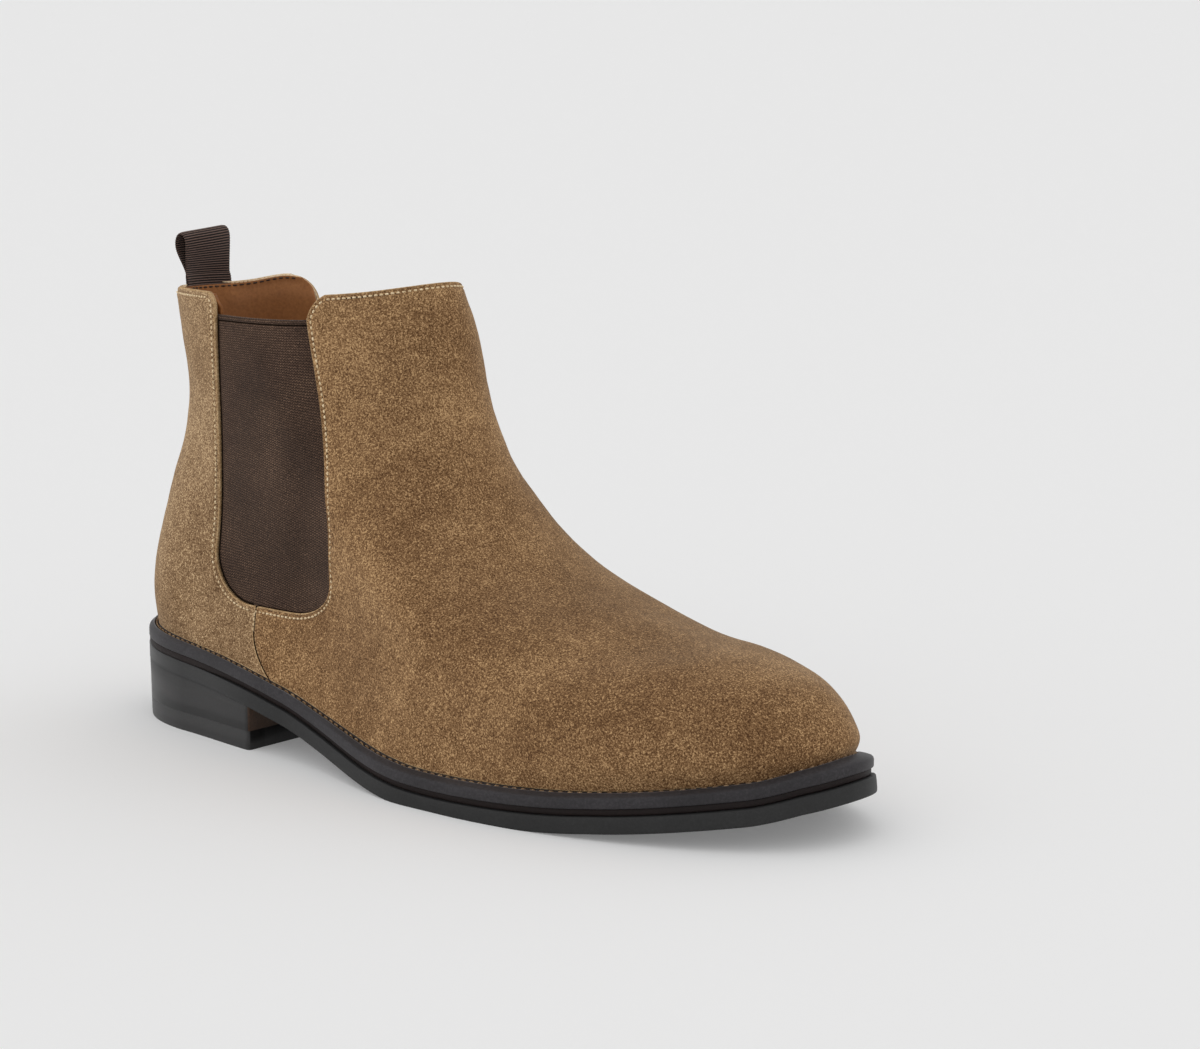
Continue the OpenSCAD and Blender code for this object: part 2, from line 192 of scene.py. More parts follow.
def slopes(t, a):
    """How the surface runs along t, along a, and its outward normal."""
    lo, hi = np.maximum(0, t - 0.004), np.minimum(1, t + 0.004)
    along_t = (on(hi, a) - on(lo, a)) / (hi - lo)[..., None]
    along_a = (on(t, a + 1.0) - on(t, a - 1.0)) / 2
    return along_t, along_a, unit(np.cross(along_t, along_a))


def inset(t, a, d):
    """Points d under the outside of the upper."""
    return on(t, a) - slopes(t, a)[2] * np.asarray(d)[..., None]


def place(x, z, side):
    """Ring level and angle of the points of one side with this x and z."""
    lo, hi = np.zeros_like(x), np.ones_like(x)
    for _ in range(30):
        t = (lo + hi) / 2
        bx, _, f = ends(t)
        a = np.degrees(np.arccos(np.clip(1 - 2 * (x - bx) / (f[..., 0] - bx), -1, 1)))
        low = on(t, side * a)[..., 2] < z
        lo, hi = np.where(low, t, lo), np.where(low, hi, t)
    return t, a


def cross(t, side, edge):
    """Angles at which rings cross an edge, whose x is edge(z)."""
    lo, hi = np.full_like(t, 4.0), np.full_like(t, 176.0)
    for _ in range(40):
        m = (lo + hi) / 2
        p = on(t, side * m)
        past = p[..., 0] > edge(p[..., 2])
        lo, hi = np.where(past, lo, m), np.where(past, m, hi)
    return m


# ---- edges of the panels, x and z seen from the side -----------------------------------------
def seam_x(z):
    return SEAM_X + 10 * np.maximum(0, (40 - z) / 13.5) ** 1.8


def front_upright(z):
    """The gore's front edge, which leans back towards the top."""
    return FRONT_X - 17 * np.maximum(0, (z - 76) / 67.5) ** 1.3


def rear_upright(z, side):
    """The gore's rear edge, which flares further back on the inner side."""
    flare = FLARE * sm((z - 64.5) / 70) if side == INNER else 0
    return REAR_X + 1.8 * np.maximum(0, (z - 115) / 31) ** 1.5 - flare


def end_x(z, top):
    """x of an edge near its two ends: on the seam, and round its top corner."""
    top_x, top_z, length, height = top
    return np.where(z < GORE_LOW_Z, seam_x(z), top_x + length * (1 - fold((z - top_z) / height, 2)))


def end_heights(side, top):
    """Heights at which an edge meets the feather line and the top line."""
    t = np.array([0.0, 1.0])
    return on(t, side * cross(t, side, lambda z: end_x(z, top)))[:, 2]


def edge_xz(heights, shift, counts, x, foot, upright, top):
    """The seam, the gore's lower edge, an upright edge and its rounded top corner."""
    (length, height), (top_x, top_z, top_length, top_height) = foot, top
    z = np.linspace(heights[0], GORE_LOW_Z, 30)
    a = np.linspace(0, math.pi / 2, 30)
    up = np.linspace(GORE_LOW_Z + height, top_z, 110)
    b = np.linspace(0, math.asin(min(1, (heights[1] - top_z) / top_height)), counts[1])
    start = x - length
    parts = [(seam_x(z) + shift, z),
             (np.linspace(SEAM_X + shift, start, counts[0]), np.full(counts[0], GORE_LOW_Z)),
             (start + length * np.sin(a), GORE_LOW_Z + height * (1 - np.cos(a))),
             (upright(up), up),
             (top_x + top_length * (1 - np.cos(b)), top_z + top_height * np.sin(b))]
    return np.concatenate([np.stack(part, 1)[min(i, 1):] for i, part in enumerate(parts)])


FRONT_ENDS = {side: end_heights(side, FRONT_TOP) for side, _ in SIDES}
REAR_ENDS = {side: end_heights(side, REAR_TOP[side]) for side, _ in SIDES}


def front_edge(side, gap=0.0):
    return edge_xz(FRONT_ENDS[side], gap, (24, 16), FRONT_X, FRONT_FOOT, front_upright, FRONT_TOP)


def rear_edge(side, lap=0.0):
    return edge_xz(REAR_ENDS[side], lap, (8, 18), REAR_X, REAR_FOOT, lambda z: rear_upright(z, side),
                   REAR_TOP[side])


def path_length(p):
    """Length along a path up to each of its points."""
    return np.concatenate([[0], np.cumsum(np.linalg.norm(np.diff(p, axis=0), axis=1))])


def sample(q, s, p):
    """Values p, given at the lengths s, at the lengths q."""
    return np.stack([np.interp(q, s, column) for column in p.T], -1)


def spaced(t, a, step):
    """The same path with its points a step apart."""
    s = path_length(on(t, a))
    q = np.linspace(0, s[-1], max(2, int(s[-1] / step) + 1))
    return np.interp(q, s, t), np.interp(q, s, a)


# ---- meshes ----------------------------------------------------------------------------------
def mesh_piece(name, points, faces, materials, slots=None, uv=None, flat=0):
    """A mesh object from points in millimetres, raised from the last's levels to the ground. Its last faces, as
    many as flat says, are flat, and the others are smooth."""
    mesh = bpy.data.meshes.new(name)
    points = (np.asarray(points) - [0, 0, GROUND]) * MM
    mesh.from_pydata(points.tolist(), [], [list(map(int, f)) for f in faces])
    for m in materials:
        mesh.materials.append(m)
    if slots is not None:
        mesh.polygons.foreach_set("material_index", np.asarray(slots, np.int32))
    mesh.polygons.foreach_set("use_smooth", np.arange(len(faces)) < len(faces) - flat)
    if uv is not None:
        layer = mesh.uv_layers.new(name="cloth")
        index = np.zeros(len(mesh.loops), np.int32)
        mesh.loops.foreach_get("vertex_index", index)
        layer.data.foreach_set("uv", np.asarray(uv, np.float32)[index].ravel())
    mesh.update()
    piece = bpy.data.objects.new(name, mesh)
    bpy.context.collection.objects.link(piece)
    return piece


def grid_faces(m, n, start=0, close=False):
    """Quads of an m by n grid of points; close joins the last column to the first."""
    i, j = np.meshgrid(np.arange(m - 1), np.arange(n if close else n - 1), indexing="ij")
    i, j = i.ravel(), j.ravel()
    k = (j + 1) % n
    return np.stack([i * n + j, i * n + k, (i + 1) * n + k, (i + 1) * n + j], 1) + start


def slab_faces(m, n):
    """Faces of an m by n grid of points, of the same grid under it, and of the walls between them."""
    top, k = grid_faces(m, n), m * n
    border = np.concatenate([np.arange(n), np.arange(1, m) * n + n - 1, (m - 1) * n + np.arange(n - 2, -1, -1),
                             np.arange(m - 2, 0, -1) * n])
    ahead = np.roll(border, -1)
    return np.concatenate([top, top[:, ::-1] + k, np.stack([border + k, ahead + k, ahead, border], 1)])


def inside(polygon, u, v):
    """Which points lie in the polygon."""
    result = np.zeros(len(u), bool)
    for (u0, v0), (u1, v1) in zip(polygon, np.roll(polygon, -1, axis=0)):
        if v0 == v1:
            continue
        crossing = (v0 > v) != (v1 > v)
        result ^= crossing & (u < (u1 - u0) * (v - v0) / (v1 - v0) + u0)
    return result


def nearest(points, path):
    """Distance to a path's points, and which of them is nearest."""
    dist = np.empty(len(points))
    which = np.empty(len(points), int)
    for i in range(0, len(points), 2000):
        d = np.linalg.norm(points[i:i + 2000, None] - path[None], axis=2)
        which[i:i + 2000] = d.argmin(1)
        dist[i:i + 2000] = d.min(1)
    return dist, which


def waves(p, seed, size):
    """Soft random unevenness, about -1 to 1, with bumps of the given size."""
    rng = np.random.default_rng(seed)
    total = np.zeros(len(p))
    for _ in range(7):
        k = unit(rng.normal(size=3)) * 2 * math.pi / (size * rng.uniform(0.7, 1.6))
        total += np.sin(p @ k + rng.uniform(0, 6.28))
    return total / 3.5


U_SCALE, T_SCALE = 1.25, 150.0              # millimetres for a degree and for the whole of t, roughly
BAND = (0.4, 0.95, 1.4, 1.75, 2.2, 2.9)     # rows of points along an edge, at these distances from it
STITCH_IN = 1.75                            # distance of the stitches from a sewn edge
CUT_W, EDGE_PAINTED_LIGHTER_W = 0.3, 1.2                  # width of the pale rim on the face, and on the back at sewn edges
SEAM_GAP = 0.6                              # gap between vamp and quarter along the side seam


def outward(t, a):
    """For a closed path on the surface: points, normals, and the way out across the path."""
    along_t, along_a, n = slopes(t, a)
    p = on(t, a)
    u, v = a * U_SCALE, t * T_SCALE
    area = np.sum(u * np.roll(v, -1) - v * np.roll(u, -1))
    du = np.roll(u, -1) - np.roll(u, 1)
    dv = np.roll(v, -1) - np.roll(v, 1)
    w = (dv / U_SCALE)[:, None] * along_a - (du / T_SCALE)[:, None] * along_t
    tau = unit(np.roll(p, -1, axis=0) - np.roll(p, 1, axis=0))
    w = w - np.sum(w * tau, 1, keepdims=True) * tau
    w -= np.sum(w * n, 1, keepdims=True) * n
    return p, n, unit(w) * np.sign(area)


def moved(t, a, w, s):
    """Surface coordinates s away from (t, a) in direction w."""
    along_t, along_a, _ = slopes(t, a)
    g = np.stack([along_t, along_a], -1)
    step = np.einsum("nij,nj->ni", np.linalg.pinv(g), w * s)
    return np.clip(t + step[:, 0], 0, 1), a + step[:, 1]


def panel(name, paths, sewn, depth, materials, rim=0.3, grain=1.7, seed=1):
    """A closed leather panel. paths are the sides of its outline as (t, a), and sewn says which are stitched.
    depth(t, a, p, s, e) gives the depths of both faces, where s is the distance to a sewn edge and e to any.
    The materials are those of the face, the cut edge, the back near sewn edges in a cream painted lighter
    against its shade if there is one, and the painted shade of unsewn walls."""
    t = np.concatenate([p[0][:-1] for p in paths])
    a = np.concatenate([p[1][:-1] for p in paths])
    is_sewn = np.concatenate([np.full(len(p[0]) - 1, s) for p, s in zip(paths, sewn)])
    edge, n_edge, out = outward(t, a)
    bands, rows = [], []
    for s in BAND:
        keep = is_sewn if s > BAND[0] else np.ones(len(t), bool)
        path = moved(t[keep][::2], a[keep][::2], out[keep][::2], -s)
        bands.append(np.stack(path, 1)[nearest(on(*path), edge)[0] > s - 0.2])
    across = np.linspace(a.min(), a.max(), 400)
    levels = np.linspace(t.min(), t.max(), int(T_SCALE * np.ptp(t) / grain * 0.95) + 2)[1:-1]
    for i, level in enumerate(levels):
        row_t, row_a = spaced(np.full(400, level), across, grain)
        rows.append(np.stack([row_t, row_a + 0.5 * (i % 2) * (row_a[1] - row_a[0])], 1))
    polygon = np.stack([a * U_SCALE, t * T_SCALE], 1)
    band, fill = (q[inside(polygon, q[:, 1] * U_SCALE, q[:, 0] * T_SCALE)]
                  for q in (np.concatenate(bands), np.concatenate(rows)))
    dist, which = nearest(on(*fill.T), edge)
    fill = fill[dist > np.where(is_sewn[which], BAND[-1] + 0.7, BAND[0] + 0.8)]
    count = len(t)
    flat = [Vector((q[1] * U_SCALE, q[0] * T_SCALE)) for q in np.concatenate([np.stack([t, a], 1), band, fill])]
    ring = [(i, (i + 1) % count) for i in range(count)]
    verts, _, faces, origin, _, _ = delaunay_2d_cdt(flat, ring, [], 1, 1e-7)
    found = {i: k for k, group in enumerate(origin) for i in group}
    rim_index = np.array([found[i] for i in range(count)])
    va, vt = np.array(verts).T / np.array([[U_SCALE], [T_SCALE]])
    p = on(vt, va)
    n = slopes(vt, va)[2]
    dist, which = nearest(p, edge)
    s = np.where(is_sewn[which], dist, 99.0)
    d0, d1 = depth(vt, va, p, s, dist)
    d0 = d0 + 0.16 * waves(p, seed, 26) + 0.06 * waves(p, seed + 5, 9)
    top = p - n * d0[:, None]
    top[rim_index] -= out * rim
    under = p - n * d1[:, None]
    total = len(p)
    faces = np.array(faces)
    face_n = np.cross(top[faces[:, 1]] - top[faces[:, 0]], top[faces[:, 2]] - top[faces[:, 0]])
    wrong = np.sum(face_n * n[faces].mean(1), 1) < 0
    faces[wrong] = faces[wrong][:, ::-1]
    rings = []
    for angle in np.radians((30, 60, 90)):
        rings.append(edge - n_edge * (d0[rim_index] + rim * (1 - np.cos(angle)))[:, None]
                     - out * (rim * (1 - np.sin(angle))))
    points = np.concatenate([top, under] + rings)
    loops = [rim_index] + [np.arange(count) + 2 * total + k * count for k in range(3)] + [rim_index + total]
    quads, marks = [], []                   # the walls: rounded over at the face, straight below it
    for k, (lo, hi) in enumerate(zip(loops, loops[1:])):
        quads.append(np.stack([lo, np.roll(lo, -1), np.roll(hi, -1), hi], 1))
        # The rounding and the sewn walls take the cut edge; unsewn walls take the painted shade
        marks += np.where(is_sewn | (k < 2), 1, len(materials) - 1).tolist()
    quads = np.concatenate(quads)
    one = points[quads[count]]
    if np.dot(np.cross(one[1] - one[0], one[3] - one[0]), out[0]) < 0:
        quads = quads[:, ::-1]
    all_faces = faces.tolist() + (faces[:, ::-1] + total).tolist() + quads.tolist()
    at_edge = dist[faces].mean(1) < CUT_W
    # The back near sewn edges takes the cream painted lighter, against the shade it lies in
    under_edge = (s[faces].mean(1) < EDGE_PAINTED_LIGHTER_W) * (2 if len(materials) > 3 else 0)
    slots = at_edge.astype(int).tolist() + under_edge.tolist() + marks
    return mesh_piece(name, points, all_faces, materials, slots)


# Stitches: pitch, length and radius
EDGE_STITCH, LINING_STITCH, WELT_STITCH = (1.85, 1.35, 0.3), (2.4, 1.9, 0.26), (3.2, 2.1, 0.3)
LINING_ROW_T = 0.9885


def stitch_row(name, p, n, kind, materials, lift=0.1, holes=True):
    """A row of stitches along a path p with normals n, with a needle hole between each two, a dark disc that
    paints the shade in it.
    """
    pitch, length, radius = kind
    s = path_length(p)
    count = max(1, int(round(s[-1] / pitch)))
    pitch = s[-1] / count

    def at(q):
        """Point, normal, direction and direction across, at the lengths q."""
        normal = unit(sample(q, s, n))
        tau = unit(sample(q + 0.05, s, p) - sample(q - 0.05, s, p))
        return sample(q, s, p), normal, tau, unit(np.cross(normal, tau))

    around, along = 8, 9
    turn = np.arange(around) * 2 * math.pi / around
    cos, sin = np.cos(turn)[:, None], np.sin(turn)[:, None]
    w = np.sin(np.linspace(-math.pi / 2, math.pi / 2, along))
    centre, normal, _, side = at(((np.arange(count) + 0.5) * pitch)[:, None] + w * length / 2)
    size = radius * np.sqrt(np.maximum(0.02, 1 - w**4))
    height = lift - (radius + lift + 0.1) * w**4
    ring = side[:, :, None] * cos * 1.15 + normal[:, :, None] * sin
    points = (centre + normal * height[:, None])[:, :, None] + ring * size[:, None, None]
    points = points.reshape(-1, 3)
    stitch = grid_faces(along, around, close=True)[:, ::-1].tolist()
    stitch += [list(range(around)), list(range(along * around))[:-around - 1:-1]]
    faces = [[v + k * along * around for v in face] for k in range(count) for face in stitch]
    slots = [0] * len(faces)
    # Each hole is a dark disc and cone under the surface, painted shade
    if holes:
        c, normal, tau, side = at(np.arange(count + 1) * pitch)
        disc = (c[:, None] + (side[:, None] * cos + tau[:, None] * sin) * radius * 1.15
                - normal[:, None] * 0.25)
        block = np.concatenate([disc, (c + normal * 0.06)[:, None], (c - normal * 0.4)[:, None]], 1)
        base = len(points)
        points = np.concatenate([points, block.reshape(-1, 3)])
        pairs = [(i, (i + 1) % around) for i in range(around)]
        hole = [[i, j, around] for i, j in pairs] + [[j, i, around + 1] for i, j in pairs]
        faces += [[v + base + k * (around + 2) for v in face] for k in range(count + 1) for face in hole]
        slots += [1] * (len(faces) - len(slots))
    return mesh_piece(name, points, faces, materials, slots)


def settle(piece, slot, *nodes, body="root"):
    """Hides the nodes of the frame that a piece stands for, and attaches the piece to the body it moves with; a
    piece of the body "shaft" is attached to none. slot, the piece's finish, is not used."""
    if nodes:
        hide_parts(*nodes)
    if body == "shaft":
        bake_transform(piece)
    else:
        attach(piece, body)


# ---- materials -------------------------------------------------------------------------------
def rgb(r, g, b):
    """Linear colour of an sRGB one given in 0 to 255."""
    return tuple((v / 255 / 12.92) if v <= 10 else ((v / 255 + 0.055) / 1.055) ** 2.4 for v in (r, g, b)) + (1,)


class Finish:
    """A procedural material, built up node by node."""

    def __init__(self, name, roughness=0.7, **values):
        self.material = bpy.data.materials.new(name)
        self.material.use_nodes = True
        self.tree = self.material.node_tree
        self.shader = self.tree.nodes["Principled BSDF"]
        self.shader.inputs["Roughness"].default_value = roughness
        for key, value in values.items():
            self.shader.inputs[key.replace("_", " ")].default_value = value
        self.place = self.tree.nodes.new("ShaderNodeTexCoord")

    def put(self, socket, value):
        if isinstance(value, bpy.types.NodeSocket):
            self.tree.links.new(value, socket)
        elif value is not None:
            socket.default_value = value

    def noise(self, size, detail=3, rough=0.55, distortion=0.0, at=None):
        """Noise with features of about the given size in millimetres."""
        n = self.tree.nodes.new("ShaderNodeTexNoise")
        self.put(n.inputs["Vector"], at or self.place.outputs["Object"])
        n.inputs["Scale"].default_value = 1000 / size
        n.inputs["Detail"].default_value = detail
        n.inputs["Roughness"].default_value = rough
        n.inputs["Distortion"].default_value = distortion
        return n.outputs["Fac"]

    def cells(self, size):
        n = self.tree.nodes.new("ShaderNodeTexVoronoi")
        self.put(n.inputs["Vector"], self.place.outputs["Object"])
        n.inputs["Scale"].default_value = 1000 / size
        return n.outputs["Distance"]

    def math(self, kind, a, b=None, c=None, clamp=False):
        n = self.tree.nodes.new("ShaderNodeMath")
        n.operation = kind
        n.use_clamp = clamp
        for socket, value in zip(n.inputs, (a, b, c)):
            self.put(socket, value)
        return n.outputs[0]

    def mean(self, *terms):
        """0.5 plus each (socket, weight) pair's weighted distance from 0.5."""
        total = 0.5
        for socket, weight in terms:
            total = self.math("MULTIPLY_ADD", self.math("SUBTRACT", socket, 0.5), weight, total)
        return total

    def paint(self, value, stops):
        """Base colour from a ramp through (position, sRGB colour) stops."""
        n = self.tree.nodes.new("ShaderNodeValToRGB")
        self.put(n.inputs["Fac"], value)
        for _ in stops[2:]:
            n.color_ramp.elements.new(0.5)
        for element, (at, colour) in zip(n.color_ramp.elements, stops):
            element.position = at
            element.color = rgb(*colour)
        self.put(self.shader.inputs["Base Color"], n.outputs["Color"])

    def mix(self, factor, a, b):
        n = self.tree.nodes.new("ShaderNodeMix")
        n.data_type = "RGBA"
        self.put(n.inputs[0], factor)
        self.put(n.inputs[6], a)
        self.put(n.inputs[7], b)
        return n.outputs[2]

    def axis(self, which, source="Object"):
        n = self.tree.nodes.new("ShaderNodeSeparateXYZ")
        self.put(n.inputs[0], self.place.outputs[source])
        return n.outputs[which]

    def bump(self, height, strength, distance):
        """Relief of the given depth in millimetres."""
        n = self.tree.nodes.new("ShaderNodeBump")
        n.inputs["Strength"].default_value = strength
        n.inputs["Distance"].default_value = distance * MM
        self.put(n.inputs["Height"], height)
        self.put(self.shader.inputs["Normal"], n.outputs["Normal"])


def suede_finish(name, light):
    """Brushed nap: blotches, mottling and fine light and dark fibre tips, with painted light that makes it
    lighter higher up. light scales each colour channel, to paint a panel lighter or darker as painted light and
    shade.
    """
    f = Finish(name, 0.93, Specular_IOR_Level=0.08, Sheen_Weight=0.16, Sheen_Roughness=0.4,
               Sheen_Tint=(1.0, 0.84, 0.62, 1))
    fibre = f.noise(0.62, 2, 0.65)
    tip = f.noise(0.36, 1, 0.6)
    mottle = f.noise(4, 2, 0.5)
    patch = f.noise(34, 2, 0.5, 0.5)
    # Painted light: the colour is lighter from 60 mm up to 110 mm above the floor
    height = f.math("MULTIPLY_ADD", f.axis(2), 1 / 0.05, -0.06 / 0.05, clamp=True)
    nap = f.mean((fibre, 1.65), (tip, 1.35), (mottle, 0.3), (patch, 0.45))
    stops = ((0.05, (70, 47, 29)), (0.34, (98, 72, 48)), (0.5, (117, 89, 61)), (0.66, (138, 108, 77)),
             (0.95, (188, 156, 116)))
    f.paint(f.math("MULTIPLY_ADD", height, 0.06, nap),
            [(at, [min(255, v * k) for v, k in zip(colour, light)]) for at, colour in stops])
    f.bump(f.mean((fibre, 1.0), (tip, 0.7), (mottle, 0.5)), 0.4, 0.3)
    return f.material


def cut_finish():
    """Raw cut edge of the suede."""
    f = Finish("suede_cut_edge", 0.9, Specular_IOR_Level=0.1)
    v = f.mean((f.noise(0.5, 2, 0.7), 1.4), (f.noise(2.5, 2), 0.6))
    f.paint(v, [(0.2, (122, 93, 62)), (0.5, (164, 134, 97)), (0.85, (208, 182, 144))])
    f.bump(v, 0.5, 0.2)
    return f.material


def gore_finish():
    """Woven elastic: fine ribs across, crossed by upright rubber cords."""
    f = Finish("elastic_weave", 0.85, Specular_IOR_Level=0.08, Sheen_Weight=0.05, Sheen_Roughness=0.5)
    u, v = f.axis(0, "UV"), f.axis(1, "UV")
    wobble = f.math("MULTIPLY", f.math("SUBTRACT", f.noise(3.0, 2), 0.5), 0.5)
    cord = f.math("COSINE", f.math("MULTIPLY", u, 2 * math.pi / 1.12))
    turn = f.math("MULTIPLY", f.math("SIGN", cord), 0.9)
    across = f.math("MULTIPLY", f.math("ADD", v, wobble), 2 * math.pi / 0.82)
    rib = f.math("COSINE", f.math("ADD", across, turn))
    weave = f.math("MULTIPLY_ADD", rib, 0.3, f.math("MULTIPLY_ADD", cord, 0.05, 0.5))
    f.paint(f.mean((weave, 0.9), (f.noise(0.45, 2, 0.7), 1.2), (f.noise(22, 2), 0.4)),
            [(0.1, (28, 20, 16)), (0.5, (60, 45, 36)), (0.75, (78, 60, 49)), (0.98, (122, 98, 80))])
    f.bump(weave, 0.9, 0.2)
    return f.material


def leather_finish(name, *colours):
    """Smooth lining leather with a fine grain."""
    f = Finish(name, 0.5, Specular_IOR_Level=0.25)
    grain = f.cells(0.9)
    v = f.mean((f.noise(26, 3, 0.5), 0.6), (f.noise(1.4, 3, 0.6), 0.35), (grain, 0.15))
    f.paint(v, list(zip((0.2, 0.5, 0.85), colours)))
    f.put(f.shader.inputs["Roughness"], f.math("MULTIPLY_ADD", f.noise(4), 0.25, 0.4))
    f.bump(f.mean((grain, 0.8), (f.noise(0.7, 2), 0.6)), 0.35, 0.08)
    return f.material


def tape_finish():
    """Grosgrain: the ribs are modelled and also painted lighter on their crests as painted light, and the fine
    warp threads run across them.
    """
    f = Finish("grosgrain", 0.72, Specular_IOR_Level=0.25, Sheen_Weight=0.15, Sheen_Roughness=0.4)
    warp = f.math("COSINE", f.math("MULTIPLY", f.axis(0, "UV"), 2 * math.pi / 0.42))
    rib = f.math("COSINE", f.math("MULTIPLY", f.axis(1, "UV"), 2 * math.pi))
    warp, rib = f.math("MULTIPLY_ADD", warp, 0.5, 0.5), f.math("MULTIPLY_ADD", rib, 0.5, 0.5)
    # Painted light and shade: the colour follows the modelled ribs, lighter on the crests and darker in the
    # troughs
    f.paint(f.mean((warp, 0.18), (f.noise(0.5, 2, 0.7), 0.7), (rib, 0.95)),
            [(0.15, (10, 6, 5)), (0.5, (38, 29, 26)), (0.85, (104, 83, 74))])
    f.bump(warp, 0.3, 0.05)
    return f.material


def rubber_finish(name, base, roughness, pits, specular, gloss_behind=None):
    """Black rubber with fine pits; it turns glossy behind an x, in millimetres, if one is given."""
    f = Finish(name, roughness, Specular_IOR_Level=specular)
    speck = f.noise(0.8, 2, 0.7)
    cloud = f.noise(16, 3)
    f.paint(f.mean((speck, 0.9), (cloud, 0.6)),
            [(at, [v * k for v in base]) for at, k in ((0.15, 0.7), (0.5, 1.0), (0.92, 1.4))])
    if gloss_behind is None:
        rough = f.math("MULTIPLY_ADD", f.math("SUBTRACT", cloud, 0.5), 0.1, roughness)
    else:
        ahead = f.math("MULTIPLY_ADD", f.axis(0), 1000 / 22, -gloss_behind / 22, clamp=True)
        rough = f.math("MULTIPLY_ADD", ahead, roughness - 0.42, f.math("MULTIPLY_ADD", cloud, 0.08, 0.38))
        speck = f.math("MULTIPLY", speck, f.math("MULTIPLY_ADD", ahead, 0.9, 0.1))
    f.put(f.shader.inputs["Roughness"], rough)
    f.bump(speck, pits, 0.12)
    return f.material


def plain_finish(name, colours, roughness, size=1.2, relief=0.1, **values):
    """A lively surface for threads, cork, board and metal."""
    f = Finish(name, roughness, **values)
    v = f.mean((f.noise(size, 3, 0.65), 1.3), (f.noise(size * 9, 2), 0.5))
    f.paint(v, list(zip((0.2, 0.5, 0.8), colours)))
    f.bump(v, 0.4, relief)
    return f.material


# Copies of one suede: the vamp's is painted slightly darker and the quarters' painted lighter, as painted shade
# and light
SUEDE = suede_finish("suede_vamp_painted_darker", (0.985, 0.97, 0.945))
SUEDE_PAINTED_LIGHTER = suede_finish("suede_quarter_painted_lighter", (1.06, 1.1, 1.15))
CUT = cut_finish()
# Painted light: the back of the suede at sewn edges is a cream edge, painted lighter than the cut edge to
# offset the shade it lies in
EDGE_PAINTED_LIGHTER = plain_finish("cream_edge_painted_lighter", ((206, 170, 126), (238, 210, 170), (252, 236, 206)), 0.8, 0.7)
# SHADE is painted shade: a near-black for unsewn panel walls, the gaps beside the gores and the gore's hem
# crease
SHADE = plain_finish("painted_seam_shade", ((14, 10, 8), (26, 19, 14), (42, 30, 22)), 0.95, 0.6,
                     Specular_IOR_Level=0.0)
GORE = gore_finish()
LINING = leather_finish("lining_leather", (104, 63, 31), (136, 87, 47), (158, 107, 61))
SOCK = leather_finish("sock_leather", (96, 60, 34), (128, 82, 50), (150, 102, 66))
TAPE = tape_finish()
WELT = rubber_finish("welt_edge", (46, 44, 46), 0.5, 0.1, 0.22)
# Painted highlight: a lighter grey along the crest of the welt's lip
WELT_CREST = rubber_finish("welt_crest_painted_highlight", (84, 83, 86), 0.45, 0.1, 0.3)
MIDSOLE = rubber_finish("midsole_edge", (27, 20, 19), 0.6, 0.5, 0.2)
OUTSOLE = rubber_finish("outsole_rubber", (29, 29, 29), 0.6, 0.35, 0.4, gloss_behind=-88)
HEEL = rubber_finish("heel_gloss", (31, 30, 30), 0.42, 0.05, 0.45)
BREAST = rubber_finish("heel_breast", (58, 42, 31), 0.5, 0.3, 0.3)
LIFT = rubber_finish("lift_rubber", (24, 23, 23), 0.34, 0.12, 0.4)
# Painted shade: a dark brown for the groove between the upper and the welt's lip
GROOVE = plain_finish("groove_painted_shade", ((20, 14, 10), (34, 25, 19), (58, 43, 30)), 0.8, 0.9)
THREAD = plain_finish("cream_thread", ((150, 122, 84), (205, 180, 140), (238, 220, 186)), 0.7, 0.5,
                      Sheen_Weight=0.2)
DARK_THREAD = plain_finish("dark_thread", ((28, 18, 12), (52, 34, 23), (84, 58, 40)), 0.7, 0.5)
WELT_THREAD = plain_finish("amber_thread", ((60, 42, 26), (112, 86, 58), (176, 148, 112)), 0.6, 0.6)
# Painted shade: the dark inside the needle holes between stitches
HOLE = plain_finish("needle_hole_painted_shade", ((30, 20, 12), (48, 33, 21), (70, 50, 33)), 0.95, 0.5)
BOARD = plain_finish("fibre_board", ((150, 112, 76), (176, 138, 100), (196, 162, 124)), 0.85, 0.8)
CORK = plain_finish("cork", ((92, 62, 38), (142, 104, 68), (178, 140, 98)), 0.9, 1.8, 0.3)
STEEL = plain_finish("spring_steel", ((120, 122, 126), (150, 152, 156), (176, 178, 182)), 0.35, 3.0, 0.02,
                     Metallic=1.0)
BRASS = plain_finish("nail_metal", ((140, 124, 84), (176, 158, 112), (200, 184, 140)), 0.4, 2.0, 0.02,
                     Metallic=1.0)

# ---- camera ----------------------------------------------------------------------------------
IMAGE_W, SENSOR_W = 1200, 36
AZIMUTH, ELEVATION = math.radians(40.6), math.radians(9.1)
FOCAL = 2539.8
camera = bpy.data.objects.new("camera", bpy.data.cameras.new("camera"))
bpy.context.collection.objects.link(camera)
camera.data.sensor_width = SENSOR_W
camera.data.lens = SENSOR_W * FOCAL / IMAGE_W
camera.data.clip_start, camera.data.clip_end = 0.05, 30
camera.location = (0.5578, -0.5884, 0.2093)
towards = Vector((-math.sin(AZIMUTH) * math.cos(ELEVATION), math.cos(AZIMUTH) * math.cos(ELEVATION),
                  -math.sin(ELEVATION)))
camera.rotation_euler = towards.to_track_quat("-Z", "Y").to_euler()
bpy.context.scene.camera = camera


# ---- upper: outlines -------------------------------------------------------------------------
def edge_path(xz, side, step=0.8):
    """Ring levels and angles of an edge seen from the side, running upwards."""
    t, a = place(xz[:, 0], xz[:, 1], side)
    t[0], t[-1] = 0.0, 1.0
    return spaced(t, side * a, step)


def wrapped(path):
    """The same path with its angles in 0 to 360."""
    return path[0], path[1] % 360


def flipped(path):
    """The same path the other way round."""
    return path[0][::-1], path[1][::-1]


